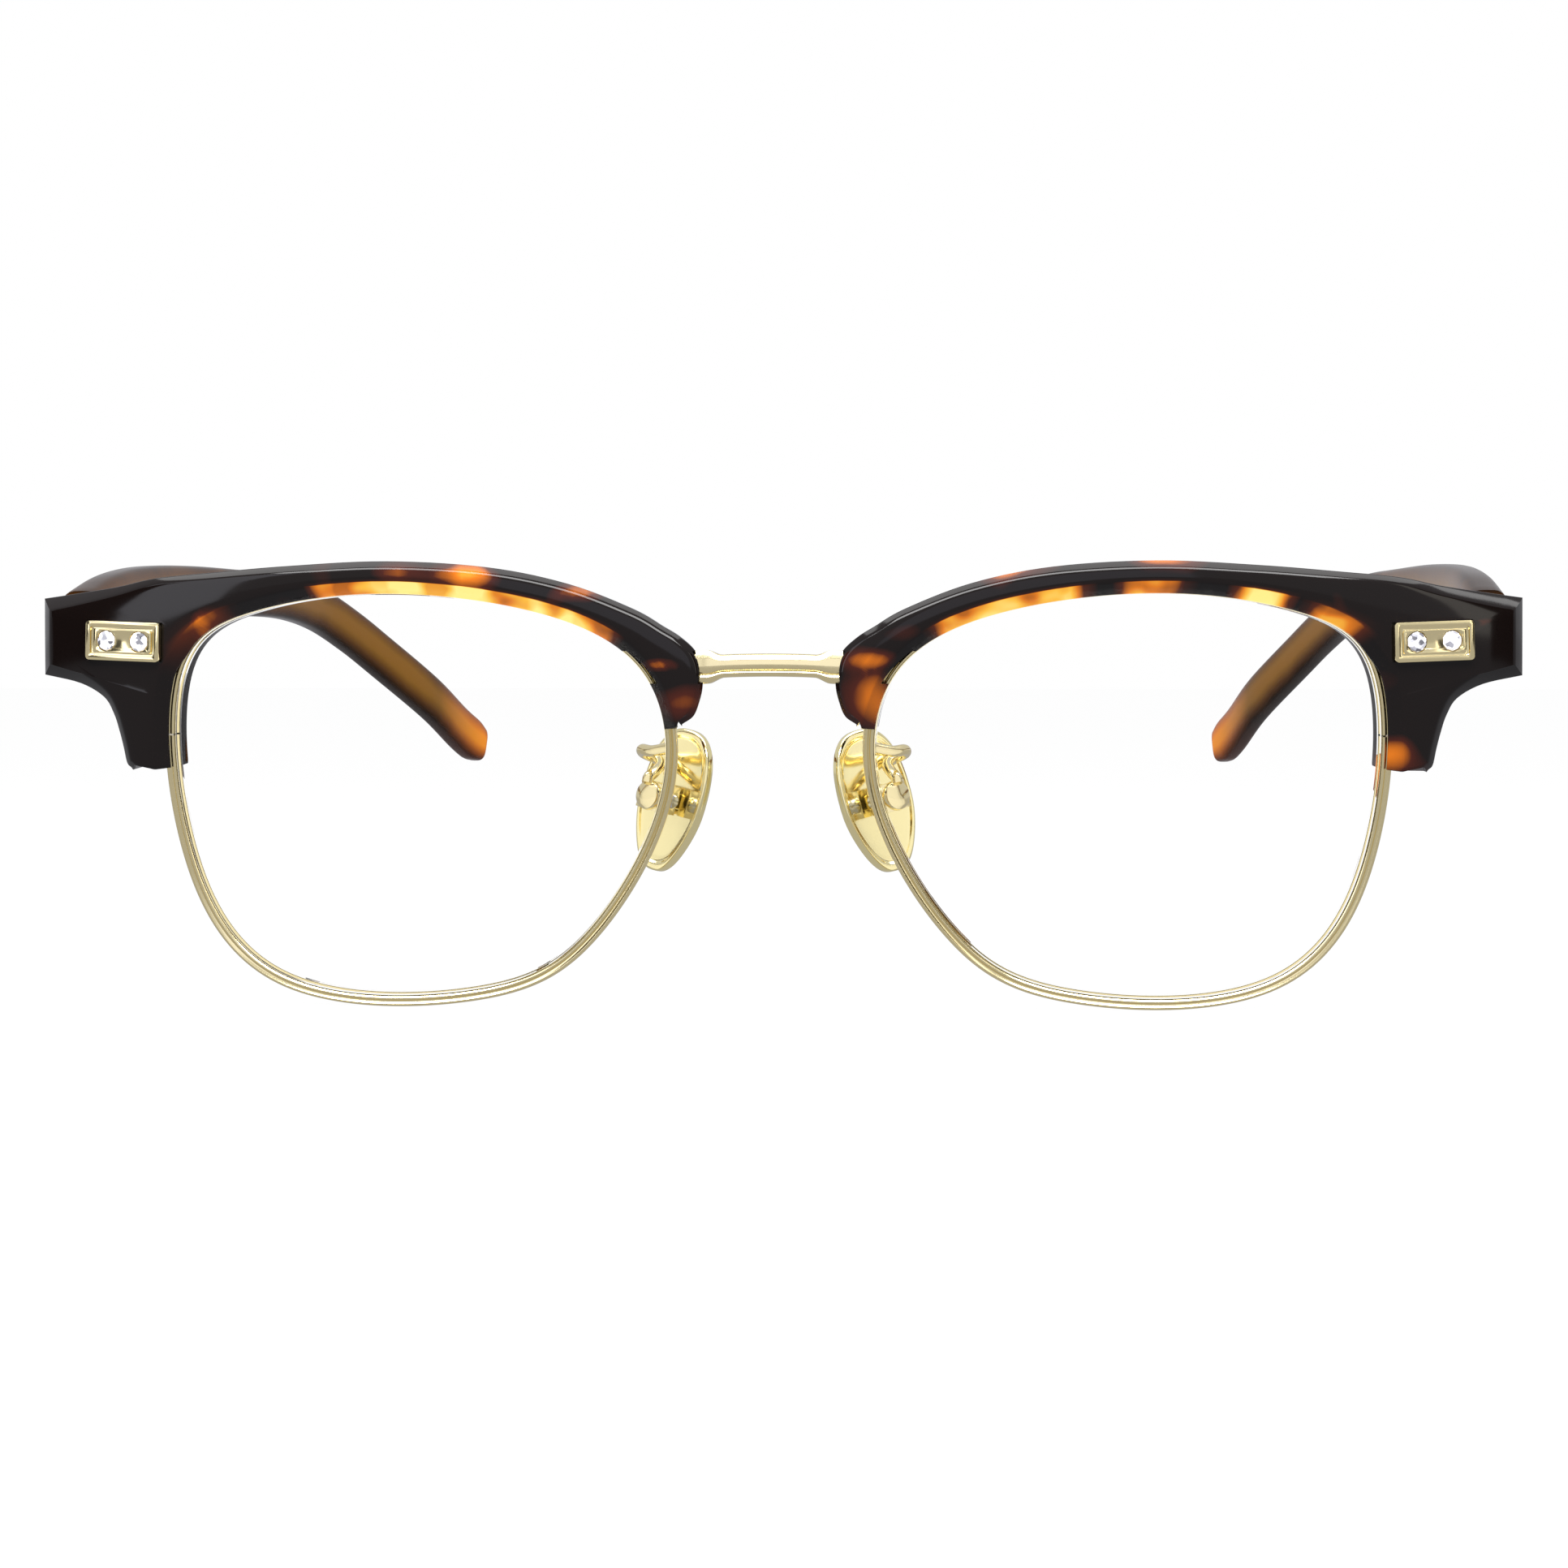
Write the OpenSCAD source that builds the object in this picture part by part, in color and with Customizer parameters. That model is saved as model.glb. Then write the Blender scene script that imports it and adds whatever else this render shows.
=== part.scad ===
// Browline glasses: two moulded brows carried by a slim metal front,
// folding temples on three-knuckle hinges and rocking nose pads.
// Millimetres; Z up, the front faces -Y, the temples run back to +Y.

/* [Front] */
// width of the front from end to end
front_w = 144; // [140:1:150]
// width of one lens
lens_w = 48.2; // [47.4:0.1:49.4]
// height of one lens
lens_h = 38.9; // [38:0.1:41]
// gap between the two lenses
bridge_gap = 20; // [19.4:0.1:21]
// radius of the spherical front surface
base_curve = 132; // [124:1:150]
// how far each half of the front wraps backward, degrees
face_form = 5.5; // [5:0.1:6.5]
// how far the front leans under at its foot, degrees
front_tilt = 8.25; // [7.5:0.25:9]

/* [Brows] */
// height of the brow above the top of the lens
brow_band = 3.15; // [2.9:0.05:3.6]
// thickness of the brow from front to back
brow_t = 4.6; // [4.5:0.05:5.2]
// bevel along the upper front edge
top_bevel = 0.6; // [0.4:0.05:0.9]
// bevel around the outer end
end_bevel = 1.35; // [1:0.05:1.6]
// width of the polished chamfer next to the lens
lens_chamfer = 1.05; // [0.8:0.05:1.2]
// height of the outer end
end_h = 7.5; // [7.1:0.1:8.2]
// length of the leg that runs down beside the lens
leg_drop = 9.2; // [8.8:0.1:10.5]
// length of the nose limb below the top of the lens
nose_drop = 12.5; // [12.2:0.1:13.2]

/* [Metal front] */
// width of the eyewire seen from the front
rim_w = 1.25; // [1.2:0.05:1.4]
// depth of the eyewire
rim_t = 1.6; // [1.6:0.05:1.75]
// height of the bridge bar
bridge_h = 2.2; // [2:0.1:2.6]
// thickness of the bridge bar
bridge_t = 1.75; // [1.5:0.05:1.9]
// thickness of the bracket behind each brow
bracket_t = 1.35; // [1.2:0.05:1.4]
// height of the bracket
bracket_h = 3.4; // [3:0.1:3.8]
// length of the plaque on each outer end
plaque_w = 8.1; // [7.6:0.1:8.3]
// height of the plaque
plaque_h = 3.8; // [3.4:0.1:4]
// diameter of the round stones
stone_d = 2; // [1.8:0.1:2.2]

/* [Nose pads] */
// length of a pad
pad_h = 14.3; // [13.5:0.1:15]
// width of a pad
pad_w = 8.3; // [7.6:0.1:8.6]
// angle of a pad to the middle plane, degrees
pad_splay = 52; // [46:1:56]
// lean of a pad from upright, degrees
pad_lean = 15.5; // [13:0.5:18]
// diameter of the pad arm wire
arm_d = 1.2; // [1:0.05:1.3]

/* [Temples] */
// length of a temple along its path
temple_len = 145; // [140:1:150]
// height of the temple at the hinge
temple_h = 7.3; // [7:0.1:7.6]
// height of the temple along its shaft
shaft_h = 5; // [4.8:0.1:5.6]
// thickness of the temple at the hinge
temple_t = 4.2; // [4:0.1:4.3]
// thickness of the ear end
ear_t = 2.6; // [2.5:0.05:2.9]
// how far the ear end leans toward the other one
ear_inset = 21.8; // [18:0.2:24]
// how far the ear end drops
ear_drop = 18.3; // [16:0.1:22]
// rise of the shaft behind the hinge
shaft_rise = 4.3; // [3.5:0.1:5]

/* [Hinges] */
// height of the three knuckles together
hinge_h = 5; // [4.6:0.1:5.4]
// diameter of a knuckle
knuckle_d = 2.5; // [2.3:0.1:2.6]
// diameter of the hinge screw
pin_d = 1.2; // [1:0.05:1.4]

/* [Hidden] */
fit = 0.05;
loose = 0.15;
lens_cx = bridge_gap / 2 + lens_w / 2;
lens_top = lens_h / 2;
end_top = lens_top - 0.3;
end_mid = end_top - end_h / 2;
pole_x = lens_cx - base_curve * sin(face_form);
pole_z = base_curve * sin(front_tilt);
rim_d = 1.5;
end_len = front_w / 2 - lens_cx - lens_w / 2;
brow_rise = brow_band + 0.3;
butt_y = 13.3;
hinge_z = end_top - 3.4;
hinge_x = front_w / 2 - temple_t - 2.5;
hinge_y = butt_y + 1.4;
temple_y = butt_y + 0.3;
tip_y = hinge_y + 0.917 * temple_len;
temple_x = front_w / 2 - 1.1 - temple_t / 2;
plate_y = 2.6;
plate_len = 10.3;
plate_h = 3.8;

// small helpers: unit vectors, blends and splines
function unit(v) = v / norm(v);
function mix(a, b, f) = a + (b - a) * f;
function ease(f) = let (c = max(0, min(1, f))) c * c * (3 - 2 * c);
function pull(p, q, r, s, u) = 0.5 * (2 * q + (r - p) * u
    + (2 * p - 5 * q + 4 * r - s) * u * u + (3 * q - p - 3 * r + s) * u * u * u);
function through(k, m) = let (n = len(k) - 1) concat(
    [for (i = [0 : n - 1], j = [0 : m - 1])
        pull(i > 0 ? k[i - 1] : 2 * k[0] - k[1], k[i], k[i + 1],
            i < n - 1 ? k[i + 2] : 2 * k[n] - k[n - 1], j / m)],
    [k[n]]);

// lens outline: closed cubic curve over ten control points, clockwise from the top
lens_form = [[0.15, 1.04], [0.72, 0.92], [1.04, 0.72], [0.99, -0.31], [0.68, -1.04],
    [-0.31, -1], [-0.66, -0.77], [-1.03, -0.04], [-1, 0.62], [-0.6, 0.92]];
lens_net = [for (k = lens_form) widen([lens_cx + k[0] * lens_w / 2, k[1] * lens_h / 2], rim_d)];
function net(i) = lens_net[i - 10 * floor(i / 10)];
function lens_at(t) = let (i = floor(t), u = t - i)
    (net(i - 1) * pow(1 - u, 3) + net(i) * (3 * pow(u, 3) - 6 * u * u + 4)
    + net(i + 1) * (3 * u * u + 3 * u + 1 - 3 * pow(u, 3)) + net(i + 2) * pow(u, 3)) / 6;
function lens_way(t) = let (i = floor(t), u = t - i)
    unit(net(i + 2) * u * u - net(i - 1) * pow(1 - u, 2)
    + net(i) * (3 * u * u - 4 * u) + net(i + 1) * (1 + 2 * u - 3 * u * u));
function lens_out(t) = let (d = lens_way(t)) [-d[1], d[0]];
function lens_off(t, w) = lens_at(t) + lens_out(t) * w;
// the curve parameter that lies nearest to a point, and the one at a given height
function nearest(q, lo, hi, n) = let (m = (lo + hi) / 2) n == 0 ? m
    : (q - lens_at(m)) * lens_way(m) > 0 ? nearest(q, m, hi, n - 1) : nearest(q, lo, m, n - 1);
function at_height(z, lo, hi, n) = let (m = (lo + hi) / 2) n == 0 ? m
    : (lens_at(m)[1] - z) * (lens_at(lo)[1] - z) > 0
    ? at_height(z, m, hi, n - 1) : at_height(z, lo, m, n - 1);

// the front lies on a sphere; d is the depth below that surface
function bend(q, d) = let (dx = q[0] - pole_x, dz = q[1] - pole_z, k = (base_curve - d) / base_curve)
    [pole_x + dx * k, base_curve - sqrt(base_curve * base_curve - dx * dx - dz * dz) * k,
    pole_z + dz * k];

// a point of the outline drawn at depth d, moved out so that it keeps its place seen from the front
function widen(q, d) = [pole_x, pole_z] + (q - [pole_x, pole_z]) * base_curve / (base_curve - d);

// brow outline: leg and lower edge, then the top edge and the nose limb
leg_form = [[0.33, 0.985], [0.365, 0.93], [0.39, 0.76], [0.42, 0.587], [0.46, 0.41],
    [0.535, 0.235], [0.717, 0.09], [1, 0]];
top_form = [[1, 0], [0.77, 0.12], [0.42, 0.32], [0.13, 0.55]];
mid_form = [[0.84, 0.7], [0.51, 0.88], [0.11, 1], [-0.295, 0.83], [-0.614, 0.38], [-0.876, -0.32]];
nose_form = [[1, 0.25], [0.84, 0.33], [0.7, 0.435], [0.635, 0.56], [0.632, 0.7], [0.66, 0.81],
    [0.72, 0.93], [0.83, 0.995]];
leg_line = through([for (k = leg_form) [lens_cx + lens_w / 2 + end_len * k[0],
    end_top - end_h - leg_drop * k[1]]], 2);
top_line = through(concat(
    [for (k = top_form) [lens_cx + lens_w / 2 + end_len * k[0], end_top + brow_rise * k[1]]],
    [for (k = mid_form) [lens_cx + lens_w / 2 * k[0], end_top + brow_rise * k[1]]],
    [for (k = nose_form) [bridge_gap / 2 * k[0], lens_top - nose_drop * k[1]]]), 3);
edge_line = concat(leg_line, top_line);
edge_n = len(edge_line);
edge_t = [for (q = edge_line) nearest(q, -2.9, 2.9, 18)];
function edge_way(i) = unit(edge_line[min(i + 1, edge_n - 1)] - edge_line[min(i, edge_n - 2)]);
function edge_in(i) = let (a = edge_way(max(i - 1, 0)), b = edge_way(i), s = a + b)
    [-s[1], s[0]] / (1 + a * b);

// one cross-section of the brow; e narrows it at the two ends, v moves it along
function brow_ring(i, e, v) = let (m = edge_in(i), t = edge_t[i],
    lip = lens_off(t, fit) + v, out = lens_out(t), g = rim_w - fit + 0.08, back = rim_d + rim_t + fit,
    b = mix(top_bevel, end_bevel, ease((edge_line[i][0] - lens_cx - lens_w / 2) / end_len)),
    k = widen(edge_line[i], b) + v, p = k + m * (b + e), q = lip + out * (lens_chamfer + e / 2))
    [bend(k + m * (0.4 + e), brow_t - e), bend(k + m * e, brow_t - 0.4 - e),
    bend(k + m * e, b + e), bend(p, 0.12 + e), bend(mix(p, q, 0.33), e), bend(mix(p, q, 0.67), e),
    bend(q, 0.1 + e), bend(lip, 1.3), bend(lip, rim_d - fit), bend(lip + out * g, rim_d - fit),
    bend(lip + out * g, back), bend(lip, back), bend(lip, brow_t - 0.3 - e / 2),
    bend(lip + out * (0.3 + e), brow_t - e)];
brow_rings = concat([brow_ring(0, 0.3, lens_way(edge_t[0]) * 0.35)],
    [for (i = [0 : edge_n - 1]) brow_ring(i, 0, [0, 0])],
    [brow_ring(edge_n - 1, 0.3, -lens_way(edge_t[edge_n - 1]) * 0.35)]);
brow_cap = [[10, 11, 12], [10, 12, 13], [10, 13, 0], [10, 0, 1], [10, 1, 2], [9, 10, 2],
    [9, 2, 3], [9, 3, 4], [9, 4, 5], [9, 5, 6], [9, 6, 7], [9, 7, 8]];

// eyewire section as [outward, backward] pairs, and where the wire is split
rim_form = [[0, 0.45], [0.3, 0], [0.62, 0.16], [0.88, 0.03], [rim_w, 0.5], [rim_w, rim_t - 0.4],
    [rim_w - 0.35, rim_t], [0.25, rim_t], [0, rim_t - 0.4], [0.5, rim_t / 2 + 0.02]];
split_t = at_height(5.7, 2.02, 2.9, 18);
rim_steps = 80;
rim_rings = [for (i = [0 : rim_steps]) let (t = split_t + 0.005 + i * (10 - 0.01) / rim_steps)
    [for (s = rim_form) bend(lens_off(t, s[0]), rim_d + s[1])]];

// temple path as [along, inward, rise, drop] keys, smoothed
temple_form = [[0, 0, 0.06, 0], [0.085, 0.014, 0.5, 0], [0.19, 0.042, 0.79, 0], [0.34, 0.108, 0.97, 0],
    [0.5, 0.212, 1, 0], [0.6, 0.3, 1, 0.018], [0.68, 0.39, 1, 0.09], [0.745, 0.505, 1, 0.23],
    [0.8, 0.62, 1, 0.39], [0.89, 0.82, 1, 0.675], [0.96, 0.93, 1, 0.89], [1, 1, 1, 1]];
temple_path = [for (k = through(temple_form, 2)) [temple_x - ear_inset * k[1],
    mix(temple_y, tip_y, k[0]), end_top - 3.15 + shaft_rise * k[2] - ear_drop * k[3], k[0]]];
function temple_way(i) = let (n = len(temple_path) - 1, a = temple_path[max(i - 1, 0)],
    b = temple_path[min(i + 1, n)])
    i == 0 ? [0, 1, 0] : unit([b[0] - a[0], b[1] - a[1], b[2] - a[2]]);
function temple_ring(i, form, grow, v) = let (c = temple_path[i], s = c[3], w = temple_way(i),
    side = unit([w[1], -w[0], 0]), up = cross(side, w),
    t = ear_t + (temple_t - ear_t) * pow(1 - s, 4),
    h = shaft_h + (temple_h - shaft_h) * (1 - ease(s / 0.55)) + 0.3 * s * s)
    [for (f = form) [c[0], c[1], c[2]] + w * v + side * f[0] * t / 2 * grow + up * f[1] * h / 2 * grow];
temple_form_ring = [for (a = [0 : 30 : 330]) [sign(cos(a)) * pow(abs(cos(a)), 0.55),
    sign(sin(a)) * pow(abs(sin(a)), 0.55)]];
temple_last = len(temple_path) - 1;
temple_rings = concat([for (i = [0 : temple_last]) temple_ring(i, temple_form_ring, 1, 0)],
    [temple_ring(temple_last, temple_form_ring, 0.93, 0.5),
    temple_ring(temple_last, temple_form_ring, 0.72, 0.85)]);
// the reinforcing wire follows the same path in millimetres of its own
core_last = temple_last - 4;
function core_ring(i, extra) = let (c = temple_path[i], w = temple_way(i),
    side = unit([w[1], -w[0], 0]), up = cross(side, w), a = 0.5 + extra,
    b = mix(1.15, 0.85, ease(c[3])) + extra)
    [for (f = [[a, b - 0.35], [0, b], [-a, b - 0.35], [-a, 0.35 - b], [0, -b], [a, 0.35 - b]])
        [c[0], c[1], c[2]] + side * f[0] + up * f[1]];

// overall extents, so that the part stands centred on its lowest point
low_z = min([for (r = rim_rings, p = r) p[2]]);
front_y = min([for (r = brow_rings, p = r) p[1]]);
back_y = max([for (r = temple_rings, p = r) p[1]]);
seat = [0, -(front_y + back_y) / 2, -low_z];

// seat of the bridge, the pads and the plaque
bridge_z = lens_top - 6.9;
bridge_y = 2.25;
bridge_t0 = at_height(bridge_z, -2.6, -1.2, 18);
pad_at = [bridge_gap / 2 - 0.2, 9.3, -0.45];
pad_way = [cos(pad_splay) * cos(pad_lean), -sin(pad_splay), cos(pad_splay) * sin(pad_lean)];
arm_t0 = at_height(4.35, -3.4, -1.6, 18);
plaque_at = [lens_cx + lens_w / 2 + 0.355 * end_len, end_mid - 0.45];
stone_gap = 3.6;

// a closed mesh whose faces are turned to look outward, whichever way they are listed
module solid(points, faces) {
    parts = [for (f = faces) points[f[0]] * cross(points[f[1]], points[f[2]])];
    outward = parts * [for (p = parts) 1] < 0;
    polyhedron(points, outward ? faces : [for (f = faces) [f[2], f[1], f[0]]]);
}

// skins a list of equal rings; cap lists the triangles of one end in ring numbers
module skin(rings, closed, cap) {
    n = len(rings[0]);
    m = len(rings);
    last = closed ? m - 1 : m - 2;
    sides = [for (i = [0 : last], j = [0 : n - 1]) let (a = i * n, b = ((i + 1) % m) * n, k = (j + 1) % n)
        each [[a + j, a + k, b + k], [a + j, b + k, b + j]]];
    ends = closed ? [] : concat([for (c = cap) [c[2], c[1], c[0]]],
        [for (c = cap) [c[0], c[1], c[2]] + [1, 1, 1] * n * (m - 1)]);
    solid([for (r = rings) each r], concat(sides, ends));
}
function fan(n) = [for (j = [0 : n - 3]) [n - 1, j, j + 1]];

// closes a stack of rings with a point at either end
module dome(rings, first, final) {
    n = len(rings[0]);
    m = len(rings);
    sides = [for (i = [0 : m - 2], j = [0 : n - 1]) let (a = i * n, b = a + n, k = (j + 1) % n)
        each [[a + j, a + k, b + k], [a + j, b + k, b + j]]];
    ends = [for (j = [0 : n - 1]) let (k = (j + 1) % n, b = n * (m - 1))
        each [[n * m, k, j], [n * m + 1, b + j, b + k]]];
    solid(concat([for (r = rings) each r], [first, final]), concat(sides, ends));
}

// sweeps a ring of [side, up] points along a path, carrying its orientation with it
function ways(p) = [for (i = [0 : len(p) - 1]) unit(p[min(i + 1, len(p) - 1)] - p[max(i - 1, 0)])];
function carry(w, ups) = len(ups) == len(w) ? ups
    : let (u = ups[len(ups) - 1], d = w[len(ups)]) carry(w, concat(ups, [unit(u - d * (u * d))]));
module sweep(path, forms, up0) {
    w = ways(path);
    ups = carry(w, [unit(up0 - w[0] * (up0 * w[0]))]);
    skin([for (i = [0 : len(path) - 1]) let (side = cross(w[i], ups[i]))
        [for (f = forms[i]) path[i] + side * f[0] + ups[i] * f[1]]], false, fan(len(forms[0])));
}

// local frame on the front: x along the surface toward way, y into the depth, z up
module on_front(q, d, way) {
    o = bend(q, d);
    a = unit(bend(q + way * 0.01, d) - o);
    b = unit(bend(q, d + 0.01) - o);
    c = cross(a, b);
    multmatrix([[a[0], b[0], c[0], o[0]], [a[1], b[1], c[1], o[1]], [a[2], b[2], c[2], o[2]]]) children();
}

// rounded plate in the local frame, from depth y0 to y1
module tile(w, h, r, y0, y1) {
    translate([0, y1, 0]) rotate([90, 0, 0]) linear_extrude(y1 - y0) {
        square([w - 2 * r, h], center = true);
        square([w, h - 2 * r], center = true);
        for (i = [-1, 1], j = [-1, 1]) translate([i * (w / 2 - r), j * (h / 2 - r)]) circle(r, $fn = 16);
    }
}

module peg(r, y0, y1) {
    translate([0, y1, 0]) rotate([90, 0, 0]) cylinder(r = r, h = y1 - y0, $fn = 24);
}

// slotted screw along z: shaft from z0 up to 0, head above
module screw(r, length, head_r, head_h) {
    difference() {
        union() {
            translate([0, 0, -length]) cylinder(r = r, h = length + 0.1, $fn = 24);
            rotate_extrude($fn = 28) polygon([[0, 0], [head_r, 0], [head_r, head_h * 0.55],
                [head_r * 0.72, head_h], [0, head_h]]);
        }
        translate([-head_r * 1.2, -0.09, head_h - 0.2]) cube([head_r * 2.4, 0.18, 0.4]);
    }
}

// one half of the front is drawn on the +X side and mirrored for the other
module left_side() {
    translate(seat) children();
}
module right_side() {
    mirror([1, 0, 0]) left_side() children();
}

module bracket_bar(z_half, y0, y1, from, to, steps) {
    skin([for (i = [0 : steps]) let (f = i / steps)
        [for (c = [[-1, y0], [1, y0], [1, y1], [-1, y1]])
            let (z = plaque_at[1] + c[0] * z_half, t = nearest([plaque_at[0] - 2.5, z], 0, 2.9, 16),
                a = lens_off(t, rim_w + from), b = [to, z])
            bend(mix(a, b, f), c[1])]], false, fan(4));
}

module brow() {
    difference() {
        skin(brow_rings, false, brow_cap);
        // flat butt for the temple
        translate([hinge_x - 3, butt_y, end_top - 2 * end_h]) cube([temple_t + 6, 6, 3 * end_h]);
        // seat and pin holes of the plaque
        on_front(plaque_at, 0, [1, 0]) rotate([0, -2, 0]) {
            tile(plaque_w + 0.1, plaque_h + 0.1, 0.45, -2, 0.45);
            for (i = [-1, 1]) translate([i * stone_gap / 2, 0, 0]) peg(0.5 + fit, 0, brow_t);
        }
        // channel of the bracket
        bracket_bar(bracket_h / 2 + 3 * fit, brow_t - bracket_t - fit, brow_t + 2, -0.02, hinge_x + 1.7, 4);
        bracket_bar(bracket_h / 2 + 3 * fit, rim_d + 0.45, brow_t + 2, -0.02, plaque_at[0] - 3.5, 1);
        // recess of the hinge plate and its two posts
        on_front([hinge_x - 0.65, hinge_z], brow_t, [1, 0])
            tile(3.6 + 2 * fit, hinge_h + 2 * fit, 0.5, 0, 2);
        translate([hinge_x - 0.75 - fit, hinge_y - 1.8 - fit, hinge_z - hinge_h / 2])
            cube([1.5 + 2 * fit, 2, hinge_h]);
        // pocket of the closing block
        on_front(lens_off(split_t, rim_w + 1), rim_d + 1, lens_out(split_t))
            translate([-1.3, -1, -6]) cube([2.5, 5, 8.1]);
        // passage of the bridge and seat of its screw tab
        translate([bridge_gap / 2 - 5.5, bridge_y - bridge_t / 2 - 0.12, bridge_z - 1.95]) cube([9.5, 6, 3.9]);
        translate([bridge_gap / 2 - 1.1, 3.85, bridge_z - 3.1]) peg(1.45, 0, 3);
        translate([bridge_gap / 2 - 2.55, 2.8, bridge_z - 3.1]) cube([2.9, 4, 2]);
        translate([bridge_gap / 2 - 1.1, 1.9, bridge_z - 3.1]) peg(0.45, 0, 4);
    }
}

module eyewire() {
    skin(rim_rings, false, fan(10));
}

// the lens edge carries a bevel that sits in the groove of the eyewire
module lens() {
    mid = [lens_cx, 0];
    edge = [for (i = [0 : rim_steps - 1]) split_t + i * 10 / rim_steps];
    vee = rim_d + rim_t / 2 + 0.02;
    half = [for (t = edge) mix(mid, lens_at(t), 0.55)];
    dome([[for (q = half) bend(q, vee - 0.72)],
        for (s = [[-0.08, -0.7], [-0.08, -0.3], [0.35, 0], [-0.08, 0.3], [-0.08, 0.7]])
            [for (t = edge) bend(lens_off(t, s[0]), vee + s[1])],
        [for (q = half) bend(q, vee + 0.68)]],
        bend(mid, vee - 0.72), bend(mid, vee + 0.68));
}

module plaque() {
    on_front(plaque_at, 0, [1, 0]) rotate([0, -2, 0]) {
        difference() {
            tile(plaque_w, plaque_h, 0.4, -0.5, 0.45);
            difference() {
                tile(plaque_w - 1, plaque_h - 1, 0.3, -1, -0.25);
                tile(plaque_w - 1.7, plaque_h - 1.6, 0.25, -2, -0.1);
            }
            tile(plaque_w - 2.4, plaque_h - 2.4, 0.2, -1, -0.38);
            for (i = [-1, 1]) translate([i * stone_gap / 2, 0, 0]) peg(stone_d / 2 + 0.04, -1, 0.1);
        }
        for (i = [-1, 1]) translate([i * stone_gap / 2, 0, 0]) peg(0.5, 0.3, brow_t - 0.05);
    }
}

module stone(side) {
    on_front(plaque_at, 0, [1, 0]) rotate([0, -2, 0]) translate([side * stone_gap / 2, -0.4, 0])
        rotate([90, 0, 0]) rotate_extrude($fn = 12) polygon([[0, -0.46], [0.12, -0.46],
            [stone_d / 2, -0.08], [stone_d / 2, 0], [stone_d * 0.32, 0.32], [0, 0.32]]);
}

module bracket() {
    difference() {
        union() {
            bracket_bar(bracket_h / 2, brow_t - bracket_t, brow_t, 0.1, hinge_x + 1.6, 4);
            bracket_bar(bracket_h / 2, rim_d + 0.55, brow_t, 0.1, plaque_at[0] - 3.6, 1);
        }
        on_front(plaque_at, 0, [1, 0]) rotate([0, -2, 0])
            for (i = [-1, 1]) translate([i * stone_gap / 2, 0, 0]) peg(0.5 + fit, 0, brow_t + 1);
    }
}

// closing block: two halves on either side of the split, drawn together by a screw
module block_half(up) {
    on_front(lens_off(split_t, rim_w + 1), rim_d + 1, lens_out(split_t)) difference() {
        translate([-0.98, -0.85, up > 0 ? 0.08 : -1.9]) cube([2, 1.7, 1.82]);
        translate([0.05, 0, -3]) cylinder(r = up > 0 ? 0.4 + fit / 2 : 0.4 + fit, h = 6, $fn = 24);
    }
}

module block_screw() {
    on_front(lens_off(split_t, rim_w + 1), rim_d + 1, lens_out(split_t))
        translate([0.05, 0, -1.92]) rotate([180, 0, 0]) screw(0.4, 3.6, 0.78, 0.5);
}

module brow_screw() {
    translate([bridge_gap / 2 - 1.1, 4.72, bridge_z - 3.1]) rotate([-90, 0, 0]) screw(0.4, 2.7, 0.85, 0.45);
}

// front half of the hinge: plate on the bracket and the two outer knuckles
module hinge_front() {
    third = hinge_h / 3;
    difference() {
        union() {
            on_front([hinge_x - 0.65, hinge_z], brow_t, [1, 0]) tile(3.6, hinge_h, 0.5, 0.06, 0.8);
            for (i = [-1, 1]) translate([hinge_x, hinge_y, hinge_z + i * third])
                cylinder(d = knuckle_d, h = third - 0.1, center = true, $fn = 32);
            for (i = [-1, 1]) translate([hinge_x - 0.75, hinge_y - 1.8, hinge_z + i * third - third / 2 + 0.05])
                cube([1.5, 1.8, third - 0.1]);
        }
        translate([hinge_x, hinge_y, hinge_z])
            cylinder(d = knuckle_d + 2 * loose, h = third + 0.1, center = true, $fn = 32);
        translate([hinge_x, hinge_y, hinge_z]) cylinder(d = pin_d + 2 * fit, h = 9, center = true, $fn = 32);
        // stays inside the brow outline and clear of the brow itself
        translate([hinge_x + 1, butt_y - 3, hinge_z - 5]) cube([5, 3.2, 10]);
    }
}

module hinge_screw() {
    translate([hinge_x, hinge_y, hinge_z + hinge_h / 2]) screw(pin_d / 2, hinge_h, knuckle_d / 2 - 0.1, 0.5);
}

// temple half: middle knuckle, inlaid plate and two pins through the core wire
module hinge_temple() {
    third = hinge_h / 3;
    inner = temple_x - temple_t / 2;
    difference() {
        union() {
            translate([hinge_x, hinge_y, hinge_z]) cylinder(d = knuckle_d, h = third - 0.1, center = true, $fn = 32);
            translate([hinge_x, hinge_y, hinge_z - third / 2 + 0.05]) cube([1.25, 3, third - 0.1]);
            translate([inner - 0.75, temple_y + plate_y, hinge_z - plate_h / 2]) cube([1, plate_len, plate_h]);
            for (y = [5.6, 10]) translate([inner, temple_y + y, core_z(temple_y + y)])
                rotate([0, 90, 0]) cylinder(r = 0.5, h = temple_t / 2 + 0.9, $fn = 24);
        }
        translate([hinge_x, hinge_y, hinge_z]) cylinder(d = pin_d + 2 * fit, h = 9, center = true, $fn = 32);
    }
}
function core_z(y) = lookup(y, [for (p = temple_path) [p[1], p[2]]]);

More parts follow.
